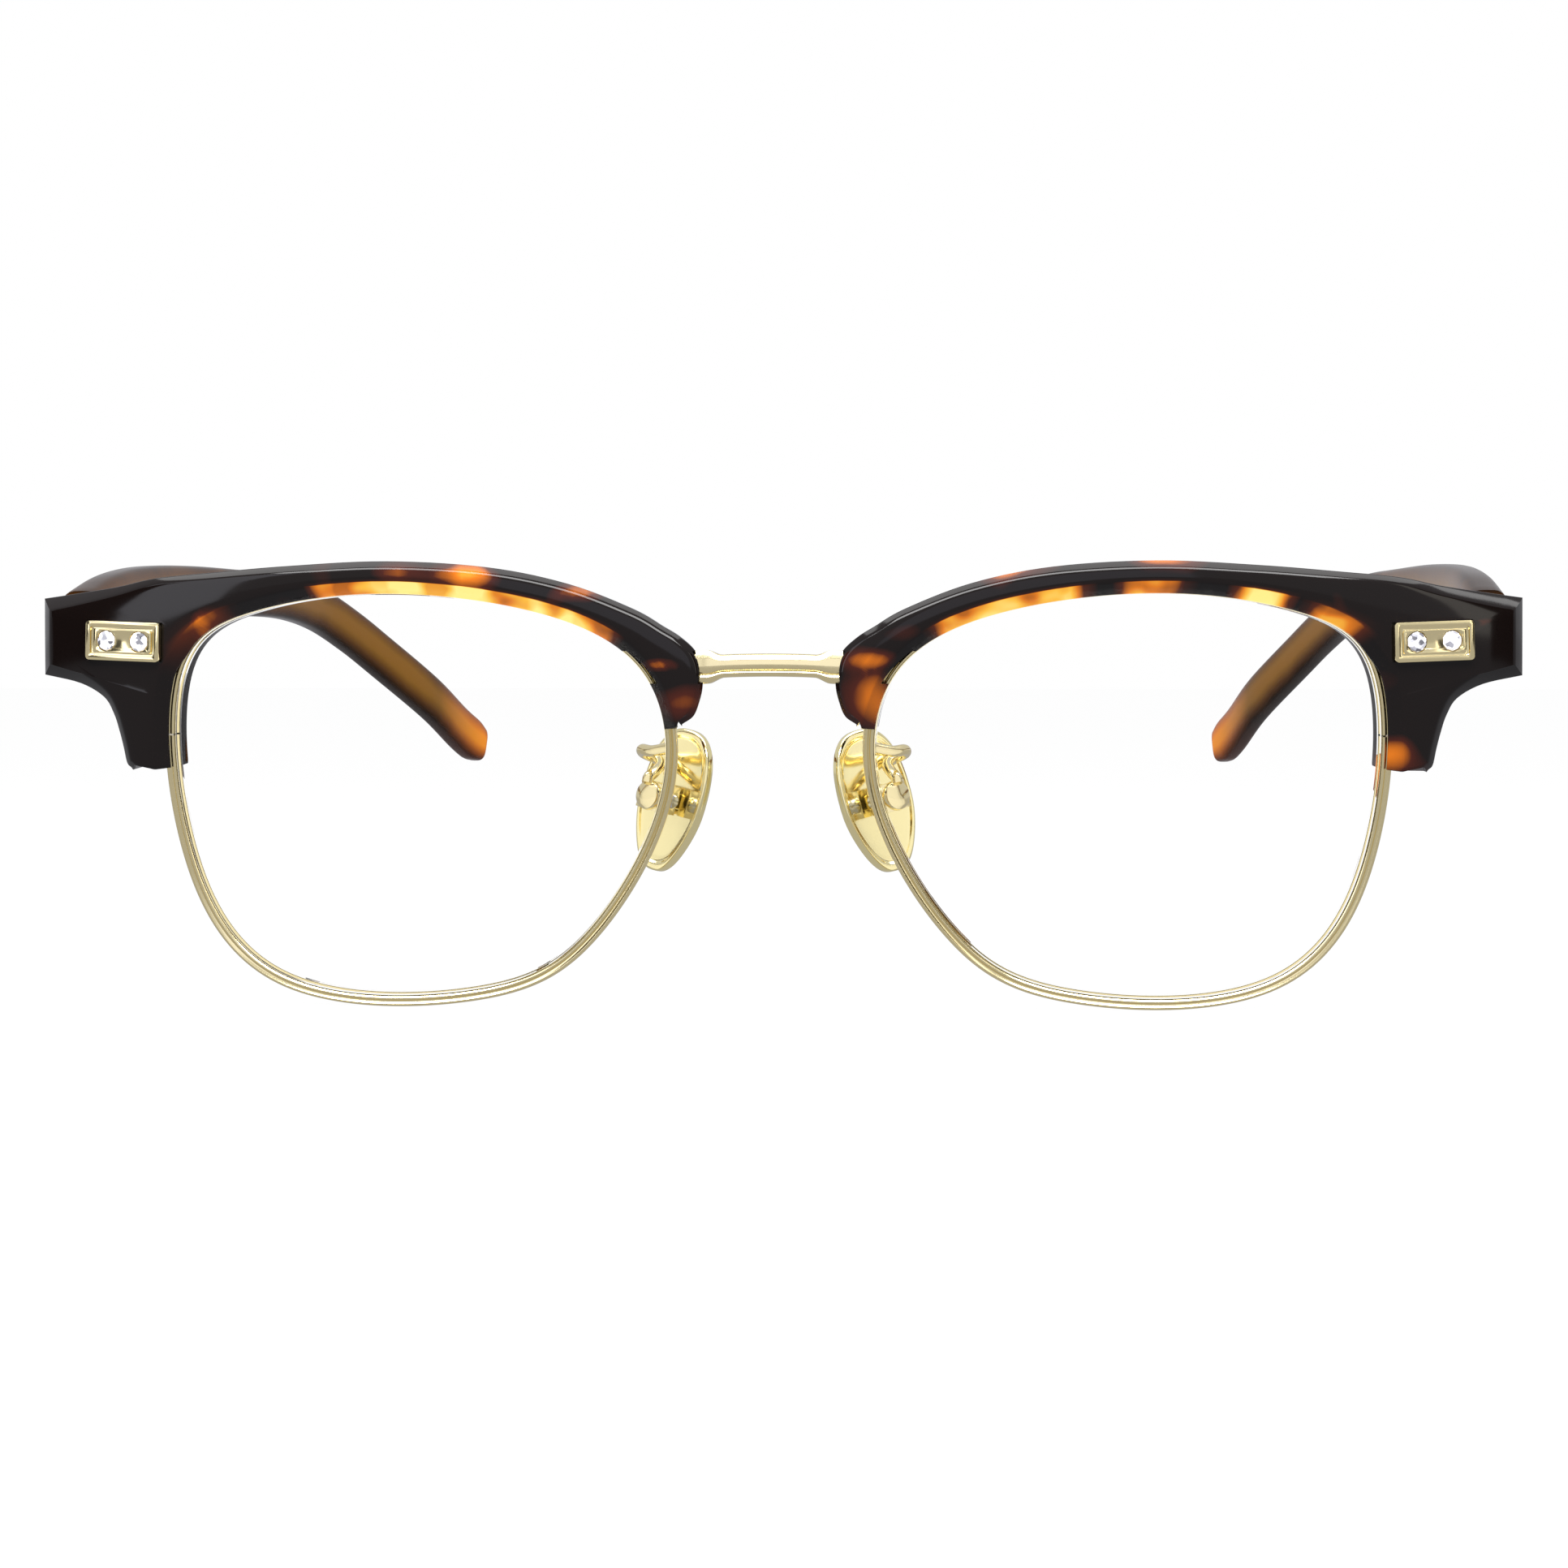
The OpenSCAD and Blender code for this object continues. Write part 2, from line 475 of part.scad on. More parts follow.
module temple() {
    inner = temple_x - temple_t / 2;
    difference() {
        skin(temple_rings, false, fan(12));
        skin([for (i = [0 : core_last]) i == 0 ? [for (p = core_ring(0, fit)) p - [0, 1, 0]]
            : core_ring(i, fit)], false, fan(6));
        // relief around the knuckles and the inlay of the hinge plate
        translate([hinge_x, hinge_y, hinge_z]) cylinder(d = knuckle_d + 0.6, h = 3 * temple_h, center = true, $fn = 32);
        translate([inner - 2, temple_y + plate_y - fit, hinge_z - plate_h / 2 - fit])
            cube([2.28, plate_len + 2 * fit, plate_h + 2 * fit]);
        translate([inner - 2, temple_y - 1, hinge_z - 1]) cube([2.3, 4, 2]);
        for (y = [5.6, 10]) translate([inner, temple_y + y, core_z(temple_y + y)])
            rotate([0, 90, 0]) cylinder(r = 0.5 + fit, h = temple_t / 2 + 1, $fn = 24);
    }
}

module temple_core() {
    difference() {
        skin([for (i = [1 : core_last - 1]) core_ring(i, 0)], false, fan(6));
        for (y = [5.6, 10]) translate([temple_x - 3, temple_y + y, core_z(temple_y + y)])
            rotate([0, 90, 0]) cylinder(r = 0.5 + fit, h = 6, $fn = 24);
    }
}

// bridge bar: flares toward the ends, which meet the eyewires squarely behind the brows
module bridge_shape() {
    foot = bend(lens_off(bridge_t0, rim_w), rim_d + rim_t / 2);
    half = [[0, bridge_y, bridge_z + 0.12], [3.2, bridge_y + 0.05, bridge_z + 0.07],
        [5.6, bridge_y + 0.15, bridge_z - 0.05], [7.2, bridge_y + 0.25, bridge_z - 0.1],
        [foot[0] + 0.7, foot[1], bridge_z - 0.1]];
    n = len(half) - 1;
    path = concat([for (i = [n : -1 : 1]) [-half[i][0], half[i][1], half[i][2]]], half);
    form = function (g) [for (a = [0 : 30 : 330]) [sign(cos(a)) * pow(abs(cos(a)), 0.8) * bridge_t / 2,
        sign(sin(a)) * pow(abs(sin(a)), 0.8) * bridge_h / 2 * g]];
    sweep(path, [for (p = path) form(1 + 0.35 * ease((abs(p[0]) - 4.6) / 2.6))], [0, 0, 1]);
}

module bridge_whole() {
    difference() {
        union() {
            bridge_shape();
            for (i = [-1, 1]) translate([i * (bridge_gap / 2 - 1.1), 0, bridge_z - 3.1]) {
                peg(1.3, 4.12, 4.7);
                translate([-0.9, 2.9, 0.9]) cube([1.8, 1.8, 1.6]);
                translate([-0.9, 4.12, 0]) cube([1.8, 0.58, 2]);
            }
        }
        for (i = [-1, 1]) translate([i * (bridge_gap / 2 - 1.1), 0, bridge_z - 3.1]) peg(0.4 + fit, 1.5, 6);
        for (i = [0, 1]) mirror([i, 0, 0]) wire_clear(bridge_t0, 0.4);
    }
}

// room for the eyewire in a piece that is soldered against it
module wire_clear(t0, span) {
    skin([for (i = [-6 : 6]) let (t = t0 + i * span / 6)
        [for (c = [[-3, -1], [rim_w + 0.03, -1], [rim_w + 0.03, rim_t + 1], [-3, rim_t + 1]])
            bend(lens_off(t, c[0]), rim_d + c[1])]], false, fan(4));
}

// pad arm: wire from the back of the eyewire, looped and led down to the pad box
module pad_arm() {
    root = lens_off(arm_t0, 0.6);
    cup = pad_at + pad_way * 3.9;
    keys = [bend(root, rim_d + rim_t + 0.16), bend(root, rim_d + rim_t + 0.7), cup + [-0.6, 0.1, 4.2],
        cup + [0.5, 1.4, 4.3], cup + [0.5, 2.8, 3.95], cup + [-0.6, 3.4, 3.4], cup + [-1.1, 2.4, 2.8],
        cup + [-0.7, 1.1, 2.2], cup + [-0.2, 0.25, 1.7], cup + [-0.05, 0.1, 1.1]];
    path = through(keys, 2);
    difference() {
        sweep(path, [for (p = path) [for (a = [0 : 45 : 315]) [cos(a), sin(a)] * arm_d / 2]], [0, 0, 1]);
        at_pad() pad_cup(0.03);
    }
}

module at_pad() {
    translate(pad_at) rotate([0, -pad_lean, 0]) rotate([0, 0, -pad_splay])
        children();
}

module pad_cup(grow) {
    translate([3.2 - grow, 0, 0]) rotate([0, 90, 0]) rotate_extrude($fn = 32)
        polygon([[0, 0], [1.35 + grow, 0], [1.45 + grow, 0.3], [1.35 + grow, 0.75 + grow],
            [0.95 + grow, 1.05 + grow], [0, 1.15 + 2 * grow]]);
}

// clevis that holds the tongue of the pad, with the round cup the arm ends in
module pad_box() {
    at_pad() difference() {
        union() {
            translate([1, -1.5, -1.35]) cube([2.4, 3, 2.7]);
            pad_cup(0);
        }
        translate([0, -0.55, -2]) cube([2.75, 1.1, 4]);
        translate([1.85, -3, 0]) peg(0.38 + fit, 0, 6);
    }
}

module pad_screw() {
    at_pad() translate([1.85, -1.52, 0]) rotate([90, 0, 0]) screw(0.38, 2.9, 0.72, 0.4);
}

// pad: crowned toward the nose, with a raised border around the outer face
module nose_pad() {
    edge = [for (a = [0 : 15 : 345]) let (y = sign(cos(a)) * pow(abs(cos(a)), 0.8),
        z = sign(sin(a)) * pow(abs(sin(a)), 0.8))
        [y * pad_w / 2 * (1 - 0.2 * ease(-z)), z * pad_h / 2]];
    levels = [[0.6, -0.8], [0.9, -0.6], [1, -0.2], [1, 0.35], [0.96, 0.62], [0.89, 0.62], [0.83, 0.35]];
    at_pad() difference() {
        union() {
            dome([for (v = levels) [for (e = edge) [v[1], e[0] * v[0], e[1] * v[0]]]],
                [-0.86, 0, 0], [0.3, 0, 0]);
            translate([0, -0.5, -0.75]) cube([1.85, 1, 1.5]);
            translate([1.85, 0, 0]) peg(0.75, -0.5, 0.5);
        }
        translate([1.85, 0, 0]) peg(0.38 + fit, -1, 1);
    }
}

module bridge() color("gold") translate(seat) bridge_whole();
module brow_right() color("saddlebrown") right_side() brow();
module brow_left() color("saddlebrown") left_side() brow();
module eyewire_right() color("gold") right_side() eyewire();
module eyewire_left() color("gold") left_side() eyewire();
module lens_right() color("lightblue", 0.3) right_side() lens();
module lens_left() color("lightblue", 0.3) left_side() lens();
module plaque_right() color("gold") right_side() plaque();
module plaque_left() color("gold") left_side() plaque();
module stone_inner_right() color("white") right_side() stone(-1);
module stone_inner_left() color("white") left_side() stone(-1);
module stone_outer_right() color("white") right_side() stone(1);
module stone_outer_left() color("white") left_side() stone(1);
module bracket_right() color("gold") right_side() bracket();
module bracket_left() color("gold") left_side() bracket();
module brow_screw_right() color("silver") right_side() brow_screw();
module brow_screw_left() color("silver") left_side() brow_screw();
module block_upper_right() color("gold") right_side() block_half(1);
module block_upper_left() color("gold") left_side() block_half(1);
module block_lower_right() color("gold") right_side() block_half(-1);
module block_lower_left() color("gold") left_side() block_half(-1);
module block_screw_right() color("silver") right_side() block_screw();
module block_screw_left() color("silver") left_side() block_screw();
module hinge_front_right() color("gold") right_side() hinge_front();
module hinge_front_left() color("gold") left_side() hinge_front();
module hinge_screw_right() color("silver") right_side() hinge_screw();
module hinge_screw_left() color("silver") left_side() hinge_screw();
module hinge_temple_right() color("gold") right_side() hinge_temple();
module hinge_temple_left() color("gold") left_side() hinge_temple();
module temple_right() color("peru") right_side() temple();
module temple_left() color("peru") left_side() temple();
module temple_core_right() color("gold") right_side() temple_core();
module temple_core_left() color("gold") left_side() temple_core();
module pad_arm_right() color("gold") right_side() pad_arm();
module pad_arm_left() color("gold") left_side() pad_arm();
module pad_box_right() color("gold") right_side() pad_box();
module pad_box_left() color("gold") left_side() pad_box();
module pad_screw_right() color("silver") right_side() pad_screw();
module pad_screw_left() color("silver") left_side() pad_screw();
module nose_pad_right() color("gold") right_side() nose_pad();
module nose_pad_left() color("gold") left_side() nose_pad();

bridge();
brow_right();
eyewire_right();
lens_right();
plaque_right();
stone_inner_right();
stone_outer_right();
bracket_right();
brow_screw_right();
block_upper_right();
block_lower_right();
block_screw_right();
hinge_front_right();
hinge_screw_right();
hinge_temple_right();
temple_right();
temple_core_right();
pad_arm_right();
pad_box_right();
pad_screw_right();
nose_pad_right();
brow_left();
eyewire_left();
lens_left();
plaque_left();
stone_inner_left();
stone_outer_left();
bracket_left();
brow_screw_left();
block_upper_left();
block_lower_left();
block_screw_left();
hinge_front_left();
hinge_screw_left();
hinge_temple_left();
temple_left();
temple_core_left();
pad_arm_left();
pad_box_left();
pad_screw_left();
nose_pad_left();
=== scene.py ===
"""Browline glasses: finely modelled brows, eyewires, lenses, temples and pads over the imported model.

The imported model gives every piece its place. The pieces whose surface the eye follows are
modelled again here, in millimetres, and the small hardware is a softened copy of its own solid.
"""
import logging
import math
from dataclasses import dataclass, field
from enum import Enum
from typing import Callable, Dict, List, Optional, Sequence, Tuple

import bmesh
import bpy
from mathutils import Matrix, Vector


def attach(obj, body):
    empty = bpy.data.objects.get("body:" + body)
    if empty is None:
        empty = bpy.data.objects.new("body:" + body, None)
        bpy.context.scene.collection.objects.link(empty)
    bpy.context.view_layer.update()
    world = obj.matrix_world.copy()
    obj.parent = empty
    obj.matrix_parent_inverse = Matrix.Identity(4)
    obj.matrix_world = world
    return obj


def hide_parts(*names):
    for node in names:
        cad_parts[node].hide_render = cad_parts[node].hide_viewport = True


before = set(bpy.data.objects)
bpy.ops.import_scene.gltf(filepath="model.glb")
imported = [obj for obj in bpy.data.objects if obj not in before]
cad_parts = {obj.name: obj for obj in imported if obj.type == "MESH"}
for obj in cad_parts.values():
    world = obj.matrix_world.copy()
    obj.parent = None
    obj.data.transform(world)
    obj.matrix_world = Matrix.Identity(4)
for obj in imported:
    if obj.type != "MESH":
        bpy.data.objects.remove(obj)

logging.basicConfig(level=logging.INFO, format="%(message)s")
log = logging.getLogger("glasses")
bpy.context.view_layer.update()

Pair = Tuple[float, float]
Triple = Tuple[float, float, float]
Cloud = Tuple[float, float, float, float, float]
Ring = List[Vector]
MERGE_MM = 0.002
PROBE_MM = 0.01
HALVINGS = 22


class Side(Enum):
    """Side of the wearer's head; LEFT lies toward +X and is drawn as it is."""

    LEFT = 1
    RIGHT = -1

    def node(self, name: str) -> str:
        """Returns the node name of a piece on this side."""
        return f"{name}_{self.name.lower()}"


def body_of(node: str) -> str:
    """Finds the moving body a node belongs to.

    Args:
        node: name of the node.

    Returns:
        Name of its body; every fixed piece belongs to the front.
    """
    piece, _, side = node.rpartition("_")
    if piece in ("temple", "temple_core", "hinge_temple"):
        return f"temple_arm_{side}"
    return f"pad_{side}" if piece == "nose_pad" else "front"


def hex_to_linear(text: str, alpha: float = 1.0) -> Tuple[float, float, float, float]:
    """Turns an sRGB hex colour into linear values.

    Args:
        text: colour as "#rrggbb".
        alpha: fourth value of the result.

    Returns:
        Linear red, green, blue and alpha.
    """
    parts = [int(text[i:i + 2], 16) / 255 for i in (1, 3, 5)]
    red, green, blue = [c / 12.92 if c <= 0.04045 else ((c + 0.055) / 1.055) ** 2.4 for c in parts]
    return red, green, blue, alpha


def add_node(tree: bpy.types.NodeTree, kind: str, settings: Optional[Dict[str, object]] = None,
             values: Optional[Dict[object, object]] = None) -> bpy.types.Node:
    """Adds one node and fills or links its inputs.

    Args:
        tree: node tree that receives it.
        kind: node type.
        settings: properties of the node.
        values: inputs by name or number, each a constant or an output socket to link.

    Returns:
        The new node.
    """
    node = tree.nodes.new(kind)
    for name, value in (settings or {}).items():
        setattr(node, name, value)
    for key, value in (values or {}).items():
        if isinstance(value, bpy.types.NodeSocket):
            tree.links.new(value, node.inputs[key])
        else:
            node.inputs[key].default_value = value
    return node


def add_ramp(tree: bpy.types.NodeTree, factor: bpy.types.NodeSocket,
             stops: Sequence[Tuple[float, str]]) -> bpy.types.NodeSocket:
    """Adds a colour ramp.

    Args:
        tree: node tree that receives it.
        factor: socket that drives it.
        stops: positions and hex colours from low to high.

    Returns:
        Its colour socket.
    """
    ramp = add_node(tree, "ShaderNodeValToRGB", values={"Fac": factor})
    ramp.color_ramp.elements[0].position, ramp.color_ramp.elements[1].position = stops[0][0], stops[-1][0]
    for place, _ in stops[1:-1]:
        ramp.color_ramp.elements.new(place)
    for element, (_, colour) in zip(ramp.color_ramp.elements, stops):
        element.color = hex_to_linear(colour)
    return ramp.outputs["Color"]


def blank_material(name: str) -> bpy.types.Material:
    """Makes a material with an empty node tree.

    Args:
        name: its name.

    Returns:
        The material.
    """
    made = bpy.data.materials.new(name)
    made.use_nodes = True
    made.node_tree.nodes.clear()
    return made


def link_mesh(name: str, bm: bmesh.types.BMesh) -> bpy.types.Object:
    """Turns a bmesh into an object of the scene.

    Args:
        name: name of the mesh and of the object.
        bm: the bmesh; it is used up.

    Returns:
        The object.
    """
    mesh = bpy.data.meshes.new(name)
    bm.to_mesh(mesh)
    bm.free()
    made = bpy.data.objects.new(name, mesh)
    bpy.context.scene.collection.objects.link(made)
    return made


def ease(f: float) -> float:
    """Smooth step between 0 and 1."""
    c = max(0.0, min(1.0, f))
    return c * c * (3 - 2 * c)


def unit(v: Vector) -> Vector:
    """Unit vector along v."""
    return v / v.length


def through(keys: Sequence[Sequence[float]], steps: int) -> List[Vector]:
    """Runs a smooth curve through its keys.

    Args:
        keys: points of any dimension.
        steps: pieces between two keys.

    Returns:
        Points of the curve, first and last key included.
    """
    k = [Vector(p) for p in keys]
    n = len(k) - 1
    out = []
    for i in range(n):
        p = k[i - 1] if i else 2 * k[0] - k[1]
        q, r = k[i], k[i + 1]
        s = k[i + 2] if i < n - 1 else 2 * k[n] - k[n - 1]
        for j in range(steps):
            u = j / steps
            out.append(0.5 * (2 * q + (r - p) * u + (2 * p - 5 * q + 4 * r - s) * u * u
                              + (3 * q - p - 3 * r + s) * u ** 3))
    return out + [k[n]]


def soften(ring: Sequence[Vector], radii: Sequence[float], steps: int = 3) -> Ring:
    """Rounds the corners of a closed section.

    Args:
        ring: corner points in order.
        radii: how far each rounding reaches along its two edges; 0 leaves the corner.
        steps: pieces of one rounding.

    Returns:
        The section with its roundings.
    """
    out: Ring = []
    for i, (p, r) in enumerate(zip(ring, radii)):
        if r == 0:
            out.append(p)
            continue
        a, b = ring[i - 1] - p, ring[(i + 1) % len(ring)] - p
        a, b = p + unit(a) * min(r, a.length * 0.45), p + unit(b) * min(r, b.length * 0.45)
        for j in range(steps + 1):
            f = j / steps
            out.append(a * (1 - f) ** 2 + p * 2 * f * (1 - f) + b * f * f)
    return out


def oval(steps: int, power: float) -> List[Pair]:
    """Points of a unit superellipse, as pairs."""
    turns = [2 * math.pi * i / steps for i in range(steps)]
    return [tuple(math.copysign(abs(c) ** power, c) for c in (math.cos(a), math.sin(a))) for a in turns]


def halve(is_low: Callable[[float], bool], low: float, high: float) -> float:
    """Closes in on the place where a test changes, by halving the stretch.

    Args:
        is_low: true for a place that lies on the low side of it.
        low: start of the stretch.
        high: its end.

    Returns:
        The middle of the last stretch.
    """
    for _ in range(HALVINGS):
        middle = (low + high) / 2
        if is_low(middle):
            low = middle
        else:
            high = middle
    return (low + high) / 2


@dataclass
class FrontForm:
    """Shape of the front in millimetres: one lens curve and one sphere carry every piece on it."""

    front_w: float = 144.0
    lens_w: float = 48.2
    lens_h: float = 38.9
    bridge_gap: float = 20.0
    base_curve: float = 132.0
    face_form: float = 5.5
    front_tilt: float = 8.25
    brow_band: float = 3.15
    brow_t: float = 4.6
    top_bevel: float = 0.6
    end_bevel: float = 1.35
    lens_chamfer: float = 1.05
    end_h: float = 7.5
    leg_drop: float = 9.2
    nose_drop: float = 12.5
    rim_w: float = 1.25
    rim_t: float = 1.6
    rim_d: float = 1.5
    fit: float = 0.05
    temple_t: float = 4.2
    butt_y: float = 13.3
    plaque_turn: float = -2.0
    seat: Vector = field(default_factory=lambda: Vector((0.0, -74.5879, 20.541)))
    lens_form: Tuple[Pair, ...] = ((0.15, 1.04), (0.72, 0.92), (1.04, 0.72), (0.99, -0.31), (0.68, -1.04),
                                   (-0.31, -1), (-0.66, -0.77), (-1.03, -0.04), (-1, 0.62), (-0.6, 0.92))
    leg_form: Tuple[Pair, ...] = ((0.33, 0.985), (0.365, 0.93), (0.39, 0.76), (0.42, 0.587),
                                  (0.46, 0.41), (0.535, 0.235), (0.717, 0.09), (1, 0))
    top_form: Tuple[Pair, ...] = ((1, 0), (0.77, 0.12), (0.42, 0.32), (0.13, 0.55))
    mid_form: Tuple[Pair, ...] = ((0.84, 0.7), (0.51, 0.88), (0.11, 1), (-0.295, 0.83), (-0.614, 0.38),
                                  (-0.876, -0.32))
    nose_form: Tuple[Pair, ...] = ((1, 0.25), (0.84, 0.33), (0.7, 0.435), (0.635, 0.56), (0.632, 0.7),
                                   (0.66, 0.81), (0.72, 0.93), (0.83, 0.995))

    def __post_init__(self) -> None:
        """Derives the places that several pieces share."""
        self.lens_cx = self.bridge_gap / 2 + self.lens_w / 2
        self.lens_top = self.lens_h / 2
        self.end_top = self.lens_top - 0.3
        self.end_len = self.front_w / 2 - self.lens_cx - self.lens_w / 2
        self.pole = Vector((self.lens_cx - self.base_curve * math.sin(math.radians(self.face_form)),
                            self.base_curve * math.sin(math.radians(self.front_tilt))))
        self.net = [self.widen(Vector((self.lens_cx + a * self.lens_w / 2, b * self.lens_h / 2)), self.rim_d)
                    for a, b in self.lens_form]
        self.hinge = Vector((self.front_w / 2 - self.temple_t - 2.5, self.butt_y + 1.4, self.end_top - 3.4))
        self.plaque_at = Vector((self.lens_cx + self.lens_w / 2 + 0.355 * self.end_len,
                                 self.end_top - self.end_h / 2 - 0.45))
        self.bridge_z = self.lens_top - 6.9
        self.split = self.at_height(5.7, 2.02, 2.9)

    def widen(self, q: Vector, depth: float) -> Vector:
        """Point that keeps its seen place when it is drawn at a depth."""
        return self.pole + (q - self.pole) * self.base_curve / (self.base_curve - depth)

    def bend(self, q: Vector, depth: float) -> Vector:
        """Lays a point of the outline on the front.

        Args:
            q: the point, as it is seen from in front.
            depth: depth under the spherical surface.

        Returns:
            The point in space.
        """
        dx, dz = q[0] - self.pole[0], q[1] - self.pole[1]
        k = (self.base_curve - depth) / self.base_curve
        y = self.base_curve - math.sqrt(self.base_curve ** 2 - dx * dx - dz * dz) * k
        return Vector((self.pole[0] + dx * k, y, self.pole[1] + dz * k))

    def span(self, t: float) -> Tuple[float, List[Vector]]:
        """Place within one span of the lens curve, and the four points of the net that shape it."""
        i, u = math.floor(t), t - math.floor(t)
        return u, [self.net[(i + k) % len(self.net)] for k in (-1, 0, 1, 2)]

    def lens_at(self, t: float) -> Vector:
        """Point of the lens curve; t runs from 0 to 10 around it."""
        u, (a, b, c, d) = self.span(t)
        return (a * (1 - u) ** 3 + b * (3 * u ** 3 - 6 * u * u + 4)
                + c * (3 * u * u + 3 * u + 1 - 3 * u ** 3) + d * u ** 3) / 6

    def lens_way(self, t: float) -> Vector:
        """Direction of the lens curve."""
        u, (a, b, c, d) = self.span(t)
        return unit(d * u * u - a * (1 - u) ** 2 + b * (3 * u * u - 4 * u) + c * (1 + 2 * u - 3 * u * u))

    def lens_out(self, t: float) -> Vector:
        """Direction away from the lens, square to its curve."""
        d = self.lens_way(t)
        return Vector((-d[1], d[0]))

    def lens_off(self, t: float, w: float) -> Vector:
        """Point at a distance outside the lens curve."""
        return self.lens_at(t) + self.lens_out(t) * w

    def nearest(self, q: Vector, low: float = -2.9, high: float = 2.9) -> float:
        """Finds the place on the lens curve that lies nearest to a point.

        Args:
            q: the point.
            low: start of the stretch that is searched.
            high: its end.

        Returns:
            The place, on the curve's own scale from 0 to 10.
        """
        return halve(lambda t: (q - self.lens_at(t)).dot(self.lens_way(t)) > 0, low, high)

    def at_height(self, z: float, low: float, high: float) -> float:
        """Finds the place on the lens curve at a height.

        Args:
            z: the height over the lens centre.
            low: start of a stretch that crosses it once.
            high: its end.

        Returns:
            The place, on the curve's own scale from 0 to 10.
        """
        start = self.lens_at(low)[1] - z
        return halve(lambda t: (self.lens_at(t)[1] - z) * start > 0, low, high)

    def local(self, q: Vector, depth: float, way: Vector) -> Matrix:
        """Local frame on the front.

        Args:
            q: place on the front.
            depth: depth under its surface.
            way: direction of the frame's first axis along the surface.

        Returns:
            A matrix whose columns run along the surface, into the depth and upward.
        """
        o = self.bend(q, depth)
        a = unit(self.bend(q + way * PROBE_MM, depth) - o)
        b = unit(self.bend(q, depth + PROBE_MM) - o)
        c = a.cross(b)
        return Matrix([[a[i], b[i], c[i], o[i]] for i in range(3)] + [[0, 0, 0, 1]])


class Shell:
    """A mesh in millimetres that grows by operators and ends as one piece of the visual."""

    def __init__(self, name: str) -> None:
        """Starts an empty mesh.

        Args:
            name: name of the piece, which is the node it replaces unless the shell is only a tool.
        """
        self.name = name
        self.bm = bmesh.new()
        self.glow = self.bm.verts.layers.float.new("glow")
        self.cloud = self.bm.verts.layers.float.new("cloud")

    def loft(self, rings: Sequence[Ring], closed: bool = False,
             glow: Optional[Sequence[Sequence[float]]] = None) -> None:
        """Extrudes a ring from station to station.

        Args:
            rings: equal sections in order.
            closed: whether the last section meets the first.
            glow: one mark per point, for finishes that ask for it.
        """
        rings = list(rings) + ([rings[0]] if closed else [])
        n = len(rings[0])
        ring = bmesh.ops.create_circle(self.bm, cap_ends=False, segments=n, radius=1.0)["verts"]
        ends = []
        for i, points in enumerate(rings):
            if i:
                edges = [self.bm.edges.get((ring[j], ring[(j + 1) % n])) for j in range(n)]
                grown = bmesh.ops.extrude_edge_only(self.bm, edges=edges)["geom"]
                fresh = {g for g in grown if isinstance(g, bmesh.types.BMVert)}
                ring = [next(e.other_vert(v) for e in v.link_edges if e.other_vert(v) in fresh) for v in ring]
            for j, v in enumerate(ring):
                v.co = points[j]
                v[self.glow] = glow[i % len(glow)][j] if glow else 0.0
            if not closed and i in (0, len(rings) - 1):
                ends.append([self.bm.edges.get((ring[j], ring[(j + 1) % n])) for j in range(n)])
        for edges in ends:
            bmesh.ops.contextual_create(self.bm, geom=edges)
        if closed:
            bmesh.ops.remove_doubles(self.bm, verts=self.bm.verts, dist=MERGE_MM)

    def box(self, matrix: Matrix, low: Sequence[float], high: Sequence[float], bevel: float = 0.0) -> None:
        """Adds a box in a local frame.

        Args:
            matrix: the local frame.
            low: its lowest corner.
            high: its highest corner.
            bevel: rounding of its edges; 0 leaves them sharp.
        """
        size = [b - a for a, b in zip(low, high)]
        mid = Vector([(a + b) / 2 for a, b in zip(low, high)])
        place = matrix @ Matrix.Translation(mid) @ Matrix.Diagonal((*size, 1))
        made = bmesh.ops.create_cube(self.bm, size=1.0, matrix=place)["verts"]
        if bevel:
            edges = list({e for v in made for e in v.link_edges})
            bmesh.ops.bevel(self.bm, geom=edges, offset=bevel, segments=3, profile=0.5,
                            affect="EDGES", material=-1)

    def rod(self, matrix: Matrix, radius: float, length: float, bevel: float = 0.0) -> None:
        """Adds a cylinder along the first axis of a local frame, centred on it.

        Args:
            matrix: the local frame.
            radius: its radius.
            length: its length.
            bevel: rounding of its two rims; 0 leaves them sharp.
        """
        place = matrix @ Matrix.Rotation(math.pi / 2, 4, "Y")
        made = bmesh.ops.create_cone(self.bm, cap_ends=True, segments=40, radius1=radius, radius2=radius,
                                     depth=length, matrix=place)["verts"]
        if bevel:
            rims = [e for e in {e for v in made for e in v.link_edges}
                    if any(len(f.verts) > 4 for f in e.link_faces)]
            bmesh.ops.bevel(self.bm, geom=rims, offset=bevel, segments=3, profile=0.5,
                            affect="EDGES", material=-1)

    def cut_by(self, tools: "Shell") -> None:
        """Takes the volume of the tools away from this mesh.

        Args:
            tools: mesh of the volumes; it is used up.
        """
        body, knife = self.to_object(), tools.to_object()
        cut = body.modifiers.new("cut", "BOOLEAN")
        cut.object, cut.operation, cut.solver = knife, "DIFFERENCE", "EXACT"
        cut.use_self = True
        baked = bpy.data.meshes.new_from_object(body.evaluated_get(bpy.context.evaluated_depsgraph_get()))
        self.bm = bmesh.new()
        self.bm.from_mesh(baked)
        floats = self.bm.verts.layers.float
        self.glow, self.cloud = (floats.get(k) or floats.new(k) for k in ("glow", "cloud"))
        for old in (body, knife):
            mesh = old.data
            bpy.data.objects.remove(old)
            bpy.data.meshes.remove(mesh)
        bpy.data.meshes.remove(baked)

    def to_object(self) -> bpy.types.Object:
        """Turns the faces outward and links the mesh as an object.

        Returns:
            The object; the mesh of this shell is used up.
        """
        bmesh.ops.recalc_face_normals(self.bm, faces=self.bm.faces)
        return link_mesh(self.name, self.bm)

